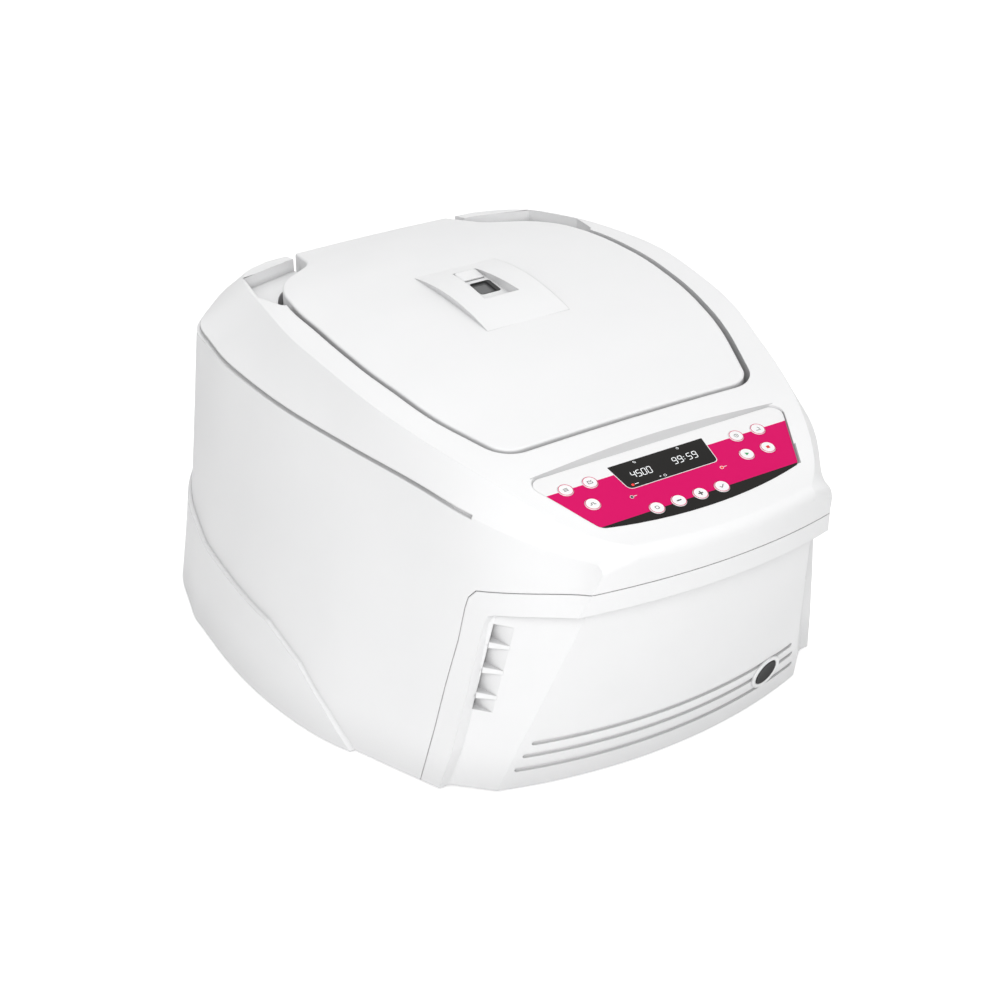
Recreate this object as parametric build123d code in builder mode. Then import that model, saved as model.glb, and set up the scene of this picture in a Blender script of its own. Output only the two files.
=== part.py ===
from build123d import *
import os
from math import atan2, cos, hypot, radians, sin

os.makedirs("parts", exist_ok=True)

# Bench centrifuge with a hinged lid and a swing-out rotor, all sizes in millimetres.
# The front faces -Y, +Z is up, and the origin is under the middle of the machine.

# Fits and gaps
running_gap = 0.05
seat_gap = 0.3
seam_gap = 0.6
wall = 4.0
side_wall = 5.0

# Reach of the cutting blocks, outside the machine on every side
below = -20.0
above = 330.0
beyond = 330.0

# Housing: stations from front to back, each with its place along Y, the half width
# at the rim, at the belt line and at the base, and the height of crown and belt line
stations = [
    (-290, 52, 70, 112, 245.5, 236),
    (-249, 97, 110, 148, 256.3, 240),
    (-210, 122, 135, 170, 266.8, 243.5),
    (-164, 141, 158, 186, 278.5, 250),
    (-90, 163, 176, 218, 290, 254.5),
    (-20, 177, 192, 243, 300.2, 256),
    (70, 181, 209.5, 253, 305, 259),
    (150, 171, 215.5, 250, 301, 262),
    (210, 159, 209, 238, 293, 265),
    (235, 151, 188, 230, 288.7, 266),
    (260, 138, 163, 214, 283, 266),
    (272, 122, 147, 194, 280.2, 266),
    (278, 109, 130, 173, 278.8, 266),
]
section_places = [
    -290, -249, -205, -164, -125, -85, -45, -5, 35, 75, 115, 152, 184, 210, 230, 245, 258, 269, 278,
]
side_crown_radius = 3440.0
housing_bottom = 5.0
front_at_base = -222.0
front_lean = 0.2385
front_radius = 376.0
front_half = 262.0
nose_radius = 8.0
rear_y = stations[-1][0]

# Belt groove and lower side skirt
belt_groove_depth = 3.5
belt_groove_height = 3.2
belt_groove_front = -164.0
skirt_proud = 4.0
skirt_line = [(-87, 0), (-53, 30), (-14, 57), (33, 74), (96, 79), (158, 86), (220, 104), (300, 112)]

# Lid outline on its right side, from the front edge back to the hinge tongue:
# each corner's place and its rounding, which is negative where the outline is hollow
lid_front = -142.0
lid_corners = [
    (115, lid_front, 24), (141, -72, 250), (152.5, -2, 350), (155, 55, 400), (152.5, 125, 250),
    (143, 176, 90), (127, 203, 50), (90, 229, -30),
]
lid_tongue_half = 79.5
lid_gap = 4.5
lid_bottom = 253.0
lid_wall = 4.0
lid_edge_round = 2.0
pocket_outer = [(136, 126), (160, 145), (168, 180), (153, 243), (100, 263), (80, 266), (80, 225)]
pocket = [(140, 130), (157, 148), (163, 180), (149, 240), (99, 258), (88, 262), (84, 225)]
pocket_depth = 12.0

# Deck under the lid
deck_top = 250.0
deck_thickness = 4.0
hinge_y = 262.0
hinge_z = 262.0
hinge_pin_radius = 4.0
hinge_pin_inner = 66.0
hinge_pin_outer = 102.0
hinge_lug_outer = 104.0
hinge_lug_half = 10.0
hinge_lug_drop = 20.0
trough_floor = 236.0
trough_front = 238.0
trough_half = 89.5
trough_rise = 20.0
tongue_wall = 3.0
tongue_front = 228.0

# Front cover with its recessed panel
seam_slope = 0.296
seam_side_y = -174.0
seam_side_z = 192.0
seam_leg = [
    (-142, below), (-142, 3), (-150, 57), (-156, 102), (-163, 144), (-166, 174), (-168, 184),
    (seam_side_y, seam_side_z),
]
frame_side_y = -191.0
frame_side_z = 177.0
frame_leg = [
    (-160, below), (-160, 4), (-168, 44), (-175, 94), (-180, 137), (-183.5, 166), (-186, 174),
    (frame_side_y, frame_side_z),
]
cover_wall = 3.0
face_at_base = -212.0
face_at_top = -257.0
face_radius = 460.0
face_top_z = 200.0
core_top = 215.0
valley_tail = (60.0, 30.0)
back_share = (0.4, 0.8, 0.6)
crease_base = 150.0
crease_top = 103.0
valley_base = (176.2, -162.0)
valley_top = (146.5, -190.3)
groove_levels = [(27.0, 139.0), (42.0, 134.5), (55.5, 129.0)]
groove_height = 4.6
groove_depth = 2.0
louvre_tops = [165.0, 144.0, 120.0, 95.5]
louvre_floors = [148.0, 124.0, 99.5, 83.0]
louvre_reach = 17.0
louvre_depth_top = 4.0
louvre_depth_floor = 9.0
louvre_inward = (-0.523, 0.852)
louvre_hood = 2.5
louvre_backing = 13.0
louvre_margin = 6.0

# Power button
power_x = 98.0
power_z = 42.0
power_ring_radius = 16.3
power_ring_inner = 12.35
power_ring_proud = 1.4
power_hole_gap = 0.1
power_cap_proud = 1.2
power_cap_radius = 12.25
power_body_radius = 14.3
power_turn = 12.0
power_tilt = -13.5
power_depth = 22.0
power_cap_depth = 12.0

# Control panel
panel_y = -175.3
panel_z = 272.7
panel_slope = 14.2
label_top_half = 120.5
label_bottom_half = 90.5
label_side = 64.0
label_drop = 75.5
label_round = 9.0
label_thickness = 0.8
label_bow = 0.1
panel_wall = 3.5
recess_gap = 1.0
recess_bow = 6.5
recess_bevel = 4.0
recess_draft = 0.4
key_radius = 6.15
key_hole_gap = 0.25
key_proud = 0.4
key_flange = 1.2
key_flange_top = -6.0
key_flange_thickness = 1.2
key_travel = 0.6
key_bevel = 0.4
key_stem_radius = 2.0
key_places = [
    (-94.0, -18.3), (-72.4, -18.3), (-83.2, -38.9), (63.7, -18.3), (84.7, -18.3), (59.2, -38.9),
    (79.5, -38.9), (-40.5, -61.4), (-20.6, -61.4), (-0.7, -61.4), (19.2, -61.4),
]
display_middle = (-8.0, -23.1)
display_size = (85.0, 26.5)
board_depth = 12.0
board_thickness = 1.6
board_size = (190.0, 62.0)
board_middle = (-8.0, -38.0)
board_parts = [(-60, -38, 16, 16, 3), (10, -50, 24, 10, 5), (62, -34, 12, 20, 8)]
board_post_radius = 3.0
board_post_places = [(-98, -62), (82, -62), (-62, -12), (44, -12)]

# Tachometer port on the lid
boss_half = 40.0
boss_front = 6.0
boss_rear = 126.5
boss_height = 4.5
boss_root = 290.0
port_rear = 111.0
port_front = 49.0
port_rear_half = 11.5
port_front_half = 17.0
port_floor_rear = 304.6
port_floor_front = 300.6
port_core_half = 24.0
port_core_wall = 8.0
window_size = (19.0, 26.0)
window_middle_y = 81.5
window_thickness = 2.5
window_sight = 12.0
shutter_size = (21.0, 15.6)
shutter_thickness = 1.6
shutter_rear = 110.6
shutter_round = 2.5
shutter_rib = (12.0, 1.2, 0.8)
shutter_rib_places = (1.0, 4.0)

# Chamber, bowl and rotor
rotor_y = 66.0
bowl_inner = 140.0
bowl_wall = 1.5
bowl_floor = 118.0
bowl_corner = 18.0
bowl_flange = 149.5
bowl_flange_thickness = 1.5
bowl_hole = 24.0
deck_hole_gap = 1.5
gasket_inner = 143.0
gasket_outer = 149.0
gasket_height = 5.5
liner_thickness = 2.0
liner_bottom = 257.5
liner_ledge = 3.0
rotor_pivot_radius = 70.0
rotor_pivot_z = 200.0
rotor_head_radius = 88.0
rotor_head_half = 8.0
rotor_hub_radius = 22.0
rotor_hub_bottom = 176.0
rotor_hub_top = 212.0
rotor_bevel = 1.5
pocket_half = 23.5
pocket_inner = 41.0
bucket_count = 4
bucket_outer = 20.0
bucket_inner = 17.0
bucket_floor = 4.0
bucket_above = 18.0
bucket_below = 51.0
trunnion_radius = 4.0
trunnion_pad = 7.5
trunnion_tip = 18.7
trunnion_pad_reach = 23.1
trunnion_root = 31.0
nut_radius = 13.0
nut_top = 228.0
shaft_radius = 6.0
shaft_hole_gap = 1.5
shaft_bottom = 39.5
shaft_top = 220.0

# Drive under the chamber
base_plate_bottom = 7.0
base_plate_thickness = 2.0
base_front_gap = 6.5
base_side_gap = 0.5
base_plate_front = -150.0
base_plate_rear = 264.0
base_vent = (60.0, 5.0)
base_vent_pitch = 14.0
base_vent_count = 9
base_vent_y = 150.0
foot_radius = 13.0
foot_bevel = 1.5
foot_places = [(-140, -120), (140, -120), (-165, 190), (165, 190)]
damper_radius = 13.0
damper_height = 21.0
damper_count = 3
damper_circle = 66.0
motor_plate_radius = 84.0
motor_plate_thickness = 4.0
motor_radius = 50.0
motor_wall = 5.0
motor_height = 74.0
bearing_outer = 16.0
bearing_height = 9.0
motor_end = 5.0
stator_inner = 34.5
stator_half = 20.0
armature_radius = 34.0
armature_half = 19.0

# Rear
rear_panel_half = 128.0
rear_panel_low = 34.0
rear_panel_high = 200.0
rear_panel_thickness = 2.0
rear_rebate = 8.0
rear_panel_y = 273.5
rear_frame = 8.0
screw_radius = 2.0
screw_head_radius = 3.6
screw_head_height = 2.0
screw_hole_gap = 0.2
screw_reach = 11.0
screw_boss_radius = 7.0
screw_boss_height = 24.0
base_screw_places = [(-208, -85), (208, -85), (-240, 60), (240, 60), (-222, 225), (222, 225)]
rear_screw_reach = 6.0
rear_screw_places = [(-124, 38), (124, 38), (-124, 196), (124, 196)]
fan_x = 70.0
fan_z = 130.0
fan_size = 80.0
fan_depth = 25.0
fan_bore = 37.0
fan_hub_radius = 15.0
fan_blades = 7
fan_blade_reach = 35.5
vent_slot = 3.2
vent_pitch = 8.0
vent_count = 9
vent_low = 118.0
vent_width = 60.0
fan_slot_rows = 4
fan_strut = (5.0, 3.0)
fan_hub_depth = 6.0
fan_axle_radius = 2.0
fan_axle_length = 12.0
fan_blade = (1.5, 17.0)
fan_blade_pitch = 35.0
impeller_depth = 15.0
inlet_x = -75.0
inlet_z = 78.0
inlet_width = 28.0
inlet_height = 20.0
inlet_depth = 28.0
inlet_flange = 4.0
inlet_flange_thickness = 2.0
inlet_blade = (2.0, 14.0, 5.0)
inlet_blade_places = [(-7.0, -4.0), (7.0, -4.0), (0.0, -8.0)]
inlet_socket_depth = 16.0
fuse_height = 12.0
fuse_drawer_width = 20.0
fuse_drawer_depth = 18.0
fuse_drawer_height = 8.0
fuse_radius = 2.6
fuse_length = 16.0

# Lid lock
lock_y = -122.0
striker_half = 2.0
striker_width = 12.0
striker_foot = (30.0, 18.0, 2.0)
striker_eye_gap = 0.5
striker_bottom = 226.0
lock_bolt_z = 234.0
lock_bolt_radius = 3.5
lock_bolt_tip = 5.0
lock_bolt_length = 30.0
lock_bolt_bevel = 0.8
lock_half = 40.0
lock_depth = 15.0
lock_bottom = 206.0
lock_wall = 4.0
slot_half = 4.5
slot_length = 24.0

# Loose boards
supply_size = (70.0, 150.0, 46.0)
supply_place = (-150.0, 40.0)
supply_wall = 1.5
supply_coil = (44.0, 52.0, 34.0)
supply_vent = (40.0, 2.5, 8.0)
supply_vents = 8
supply_vent_pitch = 6.0
sink_size = (60.0, 120.0, 40.0)
sink_place = (145.0, 50.0)
sink_fins = 9
sink_fin = 2.0
sink_base = 6.0
imbalance_size = (20.0, 10.0, 16.0)
imbalance_place = (-60.0, -30.0)
imbalance_lever = (2.0, 6.0, 3.0)

base_top = base_plate_bottom + base_plate_thickness
panel_angle = radians(panel_slope)
panel_out = (0, -sin(panel_angle), cos(panel_angle))


def panel_plane(x=0.0, u=0.0, out=0.0):
    """Plane of the control panel: x runs right, u runs up the slope, out leaves it."""
    y = panel_y + u * cos(panel_angle) - out * sin(panel_angle)
    z = panel_z + u * sin(panel_angle) + out * cos(panel_angle)
    return Plane(origin=(x, y, z), x_dir=(1, 0, 0), z_dir=panel_out)


def rim_height(rim, crown):
    """Height of the rim where the side-to-side crown has dropped away from the middle."""
    return crown - rim**2 / (2 * side_crown_radius)


def front_y(z):
    """Middle of the housing's leaning front at a height."""
    return front_at_base - front_lean * (z - housing_bottom)


def seam_z(y):
    """Height of the front cover's upper seam, parallel to the control panel."""
    return seam_side_z + seam_slope * (seam_side_y - y)


def frame_z(y):
    """Height of the recess's upper edge."""
    return frame_side_z + seam_slope * (frame_side_y - y)


def grown(points, distance):
    """Line moved square to itself, to the right of the way that it runs."""
    normals = []
    for (ax, ay), (bx, by) in zip(points, points[1:]):
        length = hypot(bx - ax, by - ay)
        normals.append(((by - ay) / length, (ax - bx) / length))
    moved = []
    for i, (x, y) in enumerate(points):
        first = normals[max(i - 1, 0)]
        second = normals[min(i, len(normals) - 1)]
        reach = distance / (1 + first[0] * second[0] + first[1] * second[1])
        moved.append((x + reach * (first[0] + second[0]), y + reach * (first[1] + second[1])))
    return moved


def lid_outline(distance, rear):
    """Face of the lid's outline, grown outwards by a distance and straight at the back."""
    line = [(0, lid_front)] + [(x, y) for x, y, radius in lid_corners] + [(lid_tongue_half, rear)]
    right = grown(line, distance)[1:]
    right[-1] = (right[-1][0], rear)
    with BuildSketch() as face:
        with BuildLine():
            Polyline(*right, *[(-x, y) for x, y in reversed(right)], close=True)
        make_face()
        for (x, y), (_, _, radius) in zip(right, lid_corners):
            corner = [
                vertex for vertex in face.vertices()
                if abs(abs(vertex.X) - x) < 0.01 and abs(vertex.Y - y) < 0.01
            ]
            fillet(corner, abs(radius + distance))
    return face.sketch


def face_outline(z, inset):
    """Outline of the recessed front panel's core at a height, set back by an inset."""
    share = (z - housing_bottom) / (face_top_z - housing_bottom)
    y = face_at_base + (face_at_top - face_at_base) * share + inset
    crease = crease_base + (crease_top - crease_base) * share - inset * back_share[0]
    valley_x = valley_base[0] + (valley_top[0] - valley_base[0]) * share - inset * back_share[1]
    valley_y = valley_base[1] + (valley_top[1] - valley_base[1]) * share + inset * back_share[2]
    crease_y = y + crease**2 / (2 * face_radius)
    tail_x, tail_y = valley_x + valley_tail[0], valley_y + valley_tail[1]
    with BuildLine() as outline:
        ThreePointArc((-crease, crease_y), (0, y), (crease, crease_y))
        Polyline(
            (crease, crease_y), (valley_x, valley_y), (tail_x, tail_y), (tail_x, 0),
            (-tail_x, 0), (-tail_x, tail_y), (-valley_x, valley_y), (-crease, crease_y),
        )
    return outline.line


def flank_point(z, along, inward):
    """Plan point of the core's right flank at a height, counted from the valley along it and inwards."""
    share = (z - housing_bottom) / (face_top_z - housing_bottom)
    valley_x = valley_base[0] + (valley_top[0] - valley_base[0]) * share
    valley_y = valley_base[1] + (valley_top[1] - valley_base[1]) * share
    crease_x = crease_base + (crease_top - crease_base) * share
    crease_y = face_at_base + (face_at_top - face_at_base) * share + crease_x**2 / (2 * face_radius)
    part = along / hypot(crease_x - valley_x, crease_y - valley_y)
    x = valley_x + (crease_x - valley_x) * part + louvre_inward[0] * inward
    y = valley_y + (crease_y - valley_y) * part + louvre_inward[1] * inward
    return x, y


def louvre_plan(z, depth, outside):
    """Plan of a louvre's scoop at a height: deep at the valley, running out along the flank."""
    return [
        flank_point(z, 0, -outside), flank_point(z, 0, depth), flank_point(z, louvre_reach, 0),
        flank_point(z, louvre_reach, -outside),
    ]


def both_sides(plans):
    """Ruled body through plans at their heights, on the right side and mirrored to the left."""
    with BuildPart() as body:
        for sign in (1, -1):
            for z, points in plans:
                with BuildSketch(Plane.XY.offset(z)):
                    with BuildLine():
                        Polyline(*[(sign * x, y) for x, y in points], close=True)
                    make_face()
            loft(ruled=True)
    return body.part


def front_outline(z, inset, back):
    """Plan of everything behind the housing's front at a height."""
    y = front_y(z) + inset
    corner_y = y + front_radius - (front_radius**2 - front_half**2) ** 0.5
    with BuildLine() as outline:
        ThreePointArc((-front_half, corner_y), (0, y), (front_half, corner_y))
        Polyline((front_half, corner_y), (front_half, back), (-front_half, back), (-front_half, corner_y))
    return outline.line


def station_at(y):
    """Station at any place along Y, on smooth curves through the listed stations."""
    places = [station[0] for station in stations]
    row = [y]
    for column in range(1, 6):
        values = [station[column] for station in stations]
        slopes = [
            (second - first) / (end - start)
            for first, second, start, end in zip(values, values[1:], places, places[1:])
        ]
        tangents = [slopes[0]]
        for first, second in zip(slopes, slopes[1:]):
            tangents.append(2 * first * second / (first + second) if first * second > 0 else 0)
        tangents.append(slopes[-1])
        i = max(0, min(sum(place <= y for place in places), len(places) - 1) - 1)
        step = places[i + 1] - places[i]
        t = (y - places[i]) / step
        row.append(
            (2 * t**3 - 3 * t**2 + 1) * values[i] + (t**3 - 2 * t**2 + t) * step * tangents[i]
            + (3 * t**2 - 2 * t**3) * values[i + 1] + (t**3 - t**2) * step * tangents[i + 1]
        )
    return row


def hull_section(station, side, top, low):
    """Cross-section of the housing at a station, drawn in from the sides and the top."""
    y, rim, belt, base, crown, belt_z = station
    rim_z = rim_height(rim, crown) - top
    with BuildSketch(Plane.XZ.offset(-y)) as section:
        with BuildLine():
            Polyline(
                (side - rim, rim_z), (side - belt, belt_z), (side - base, low),
                (base - side, low), (belt - side, belt_z), (rim - side, rim_z),
            )
            ThreePointArc((rim - side, rim_z), (0, crown - top), (side - rim, rim_z))
        make_face()
    return section.sketch


def belt_section(station, mirrored):
    """Cross-section of the belt groove's cutter at a station."""
    y, belt, z = station[0], station[2], station[5]
    sign = -1 if mirrored else 1
    inner = sign * (belt - belt_groove_depth)
    outer = sign * (belt + belt_groove_depth)
    half = belt_groove_height / 2
    with BuildSketch(Plane.XZ.offset(-y)) as section:
        with BuildLine():
            Polyline((inner, z - half), (outer, z - half), (outer, z + half), (inner, z + half), close=True)
        make_face()
    return section.sketch


def side_region(points):
    """Everything inside an outline of Y and Z points, right across the machine."""
    with BuildPart() as region:
        with BuildSketch(Plane.YZ.offset(-beyond)):
            with BuildLine():
                Polyline(*points, close=True)
            make_face()
        extrude(amount=2 * beyond)
    return region.part


def label_face(growth, bow=0.0, out=0.0):
    """Face of the panel label, grown outwards, bowed at its upper edge and raised."""
    with BuildSketch(panel_plane(0, 0, out)) as face:
        with BuildLine():
            Line((-label_bottom_half - growth, -label_side), (-label_top_half - growth, growth))
            ThreePointArc(
                (-label_top_half - growth, growth), (0, growth + label_bow + bow),
                (label_top_half + growth, growth),
            )
            Line((label_top_half + growth, growth), (label_bottom_half + growth, -label_side))
            ThreePointArc(
                (label_bottom_half + growth, -label_side), (0, -label_drop - growth),
                (-label_bottom_half - growth, -label_side),
            )
        make_face()
        fillet(face.vertices(), label_round + growth)
    return face.sketch


def write(part, name):
    """Name a finished piece and write its file."""
    part.label = name
    export_step(part, f"parts/{name}.step")


def crown_height(y):
    """Height of the housing's crown at the middle."""
    return station_at(y)[4]


# Where the power button sits on the front cover's face, looking out along its axis
power_share = (power_z - housing_bottom) / (face_top_z - housing_bottom)
power_y = face_at_base + (face_at_top - face_at_base) * power_share + power_x**2 / (2 * face_radius)
power_out = (
    sin(radians(power_turn)) * cos(radians(power_tilt)),
    -cos(radians(power_turn)) * cos(radians(power_tilt)),
    sin(radians(power_tilt)),
)
power_across = (cos(radians(power_turn)), sin(radians(power_turn)), 0)
power_location = Location(Plane(origin=(power_x, power_y, power_z), x_dir=power_across, z_dir=power_out))

# Floor of the tachometer port, with its origin at the front edge of the floor
port_angle = atan2(port_floor_rear - port_floor_front, port_rear - port_front)
port_plane = Plane(
    origin=(0, port_front, port_floor_front), x_dir=(1, 0, 0), z_dir=(0, -sin(port_angle), cos(port_angle))
)
port_location = Location(port_plane)

with BuildPart() as port_cutter:
    with BuildSketch(port_plane):
        with BuildLine():
            Polyline(
                (-port_front_half, 0), (port_front_half, 0), (port_rear_half, port_rear - port_front),
                (-port_rear_half, port_rear - port_front), close=True,
            )
        make_face()
    extrude(amount=boss_height * 4)
port_air = port_cutter.part

# Outline of the base plate, inside the housing's walls and behind the front cover
base_rows = [station for station in stations if base_plate_front < station[0] < base_plate_rear]
base_side = [(row[3] - 2 * wall - base_side_gap, row[0]) for row in base_rows]
base_side = [(valley_base[0] - 8, valley_base[1] + 14)] + base_side + [(172, base_plate_rear)]
base_front = []
for x in (-140, -70, 0, 70, 140):
    base_front.append((x, face_at_base + base_front_gap + x**2 / (2 * face_radius)))
base_points = base_front + base_side + [(-x, y) for x, y in reversed(base_side)]


# Solid envelope of the housing, lofted through the stations and cut by the leaning front
rows = [station_at(y) for y in section_places]
outer_sections = [hull_section(row, 0, 0, housing_bottom) for row in rows]
inner_sections = [hull_section(row, side_wall, wall, housing_bottom - 1) for row in rows]
skirt_rows = [row for row in rows if row[0] > lid_front]
skirt_sections = [hull_section(row, -skirt_proud, 0, housing_bottom) for row in skirt_rows]
belt_stations = [row for row in rows if row[0] >= belt_groove_front]
belt_right = [belt_section(station, False) for station in belt_stations]
belt_left = [belt_section(station, True) for station in belt_stations]

with BuildPart() as front_block:
    for z in (below, above):
        with BuildSketch(Plane.XY.offset(z)):
            add(front_outline(z, 0, rear_y + 20))
            make_face()
    loft(ruled=True)

with BuildPart() as inner_block:
    for z in (below, above):
        with BuildSketch(Plane.XY.offset(z)):
            add(front_outline(z, wall, rear_y - wall))
            make_face()
    loft(ruled=True)

with BuildPart() as hull:
    loft(outer_sections)
    add(front_block.part, mode=Mode.INTERSECT)
    nose_edges = [
        edge for edge in hull.edges()
        if edge.bounding_box().size.Z < 20 and edge.center().Y < -240 and edge.center().Z > 225
    ]
    fillet(nose_edges, nose_radius)

# Space inside the housing's walls
with BuildPart() as cavity:
    loft(inner_sections)
    add(inner_block.part, mode=Mode.INTERSECT)

# Skirt that stands proud low down on both sides
with BuildPart() as skirt:
    loft(skirt_sections)
    add(side_region(skirt_line + [(beyond, below), (skirt_line[0][0], below)]), mode=Mode.INTERSECT)

# Cutters of the belt groove
with BuildPart() as belt_groove:
    loft(belt_right)
    loft(belt_left)

# Front cover's zone, the recess in it, and the core that closes the recess
seam_line = seam_leg + [(-beyond, seam_z(-beyond))]
frame_line = frame_leg + [(-beyond, frame_z(-beyond))]
cover_zone = side_region(grown(seam_line, -seam_gap) + [(-beyond, below)])
housing_zone = side_region(seam_line + [(-beyond, below)])
recess_zone = side_region(frame_line + [(-beyond, below)])
recess_wall_zone = side_region(grown(frame_line, cover_wall) + [(-beyond, below)])

with BuildPart() as core:
    for z in (below, core_top):
        with BuildSketch(Plane.XY.offset(z)):
            add(face_outline(z, 0))
            make_face()
    loft(ruled=True)

with BuildPart() as core_inside:
    for z in (below, core_top):
        with BuildSketch(Plane.XY.offset(z)):
            add(face_outline(z, cover_wall))
            make_face()
    loft(ruled=True)

with BuildPart() as core_groove_floor:
    for z in (below, core_top):
        with BuildSketch(Plane.XY.offset(z)):
            add(face_outline(z, groove_depth))
            make_face()
    loft(ruled=True)

with BuildPart() as recess_air:
    add(recess_zone)
    add(core.part, mode=Mode.SUBTRACT)

with BuildPart() as frame_void:
    add(cavity.part)
    add(recess_wall_zone, mode=Mode.SUBTRACT)

with BuildPart() as core_void:
    add(cavity.part)
    add(core_inside.part, mode=Mode.INTERSECT)

with BuildPart() as groove_cutters:
    for z, half in groove_levels:
        with BuildSketch(Plane.XZ.offset(150)):
            with Locations((0, z)):
                SlotOverall(2 * half, groove_height)
        extrude(amount=150)
    add(core_groove_floor.part, mode=Mode.SUBTRACT)

# Thick ground behind the louvres, inside the cover's flanks
backing_plans = []
for z in (louvre_floors[-1] - louvre_margin, louvre_tops[0] + louvre_margin):
    backing_plans.append((z, [
        flank_point(z, 0, 1), flank_point(z, 0, louvre_backing),
        flank_point(z, louvre_reach + louvre_margin, louvre_margin),
        flank_point(z, louvre_reach + louvre_margin, 1),
    ]))
louvre_backing_body = both_sides(backing_plans)

# Front cover
with BuildPart() as front_cover:
    add(hull.part)
    add(cover_zone, mode=Mode.INTERSECT)
    add(recess_air.part, mode=Mode.SUBTRACT)
    add(frame_void.part, mode=Mode.SUBTRACT)
    add(core_void.part, mode=Mode.SUBTRACT)
    add(groove_cutters.part, mode=Mode.SUBTRACT)
    with Locations(power_location):
        Cylinder(power_body_radius + power_hole_gap, 2 * power_depth, mode=Mode.SUBTRACT)
    # scoops of the louvres, and the small hood that overhangs each of the lower ones
    add(louvre_backing_body)
    for top, floor in zip(louvre_tops, louvre_floors):
        scoop_floor = louvre_plan(floor, louvre_depth_floor, 5)
        scoop_top = louvre_plan(top, louvre_depth_top, 5)
        add(both_sides([(floor, scoop_floor), (top, scoop_top)]), mode=Mode.SUBTRACT)
    for lip, edge in zip(louvre_tops[1:], louvre_floors):
        hood = []
        for z, proud in ((lip, louvre_hood), (edge, 0.1)):
            hood.append((z, [flank_point(z, 0, -proud), flank_point(z, 0, 1), flank_point(z, louvre_reach, 0)]))
        add(both_sides(hood))
write(front_cover.part, "front_cover")

# Deck, recess surround, screw bosses, hinge lugs and board posts inside the housing
with BuildPart() as inner_frame:
    with BuildSketch(Plane.XY.offset(deck_top - deck_thickness)):
        add(lid_outline(lid_gap + wall, rear_y))
    extrude(amount=above)
    for sign in (-1, 1):
        with BuildSketch(Plane.XY.offset(deck_top - deck_thickness)):
            with BuildLine():
                Polyline(*[(sign * x, y) for x, y in pocket_outer], close=True)
            make_face()
        extrude(amount=above)
        with Locations((sign * (trough_half + hinge_lug_outer) / 2, hinge_y, hinge_z + hinge_lug_drop)):
            Box(hinge_lug_outer - trough_half, 2 * hinge_lug_half, 4 * hinge_lug_drop)
    with Locations((0, (trough_front - wall + rear_y) / 2, trough_floor - wall + trough_rise / 2)):
        Box(2 * (trough_half + wall), rear_y - trough_front + wall, trough_rise)
    with Locations((0, rear_y - rear_frame / 2 - 1, (rear_panel_low + rear_panel_high) / 2)):
        Box(
            2 * (rear_panel_half + rear_frame), rear_frame + 2,
            rear_panel_high - rear_panel_low + 2 * rear_frame,
        )
    for x, y in base_screw_places:
        with Locations((x, y, base_top + screw_boss_height / 2)):
            Cylinder(screw_boss_radius, screw_boss_height)
    add(label_face(wall, 0.0, -panel_wall))
    extrude(amount=panel_wall)
    for x, u in board_post_places:
        with BuildSketch(panel_plane(x, u, -board_depth)):
            Circle(board_post_radius)
        extrude(amount=board_depth - label_thickness)
    add(hull.part, mode=Mode.INTERSECT)

# Everything that the lid recess, the pockets and the hinge trough take out
with BuildPart() as pocket_air:
    for sign in (-1, 1):
        with BuildSketch(Plane.XY.offset(deck_top)):
            with BuildLine():
                Polyline(*[(sign * x, y) for x, y in pocket], close=True)
            make_face()
        extrude(amount=above)
    add(hull.part.moved(Location((0, 0, -pocket_depth))), mode=Mode.SUBTRACT)

# Flat-bottomed recess of the label, with a bevelled wall along its upper edge
recess_floor_face = label_face(recess_gap, 0.0, -label_thickness)
recess_rim_face = label_face(recess_gap + recess_draft, recess_bow, recess_bevel)
with BuildPart() as label_recess:
    loft([recess_floor_face, recess_rim_face], ruled=True)

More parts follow.
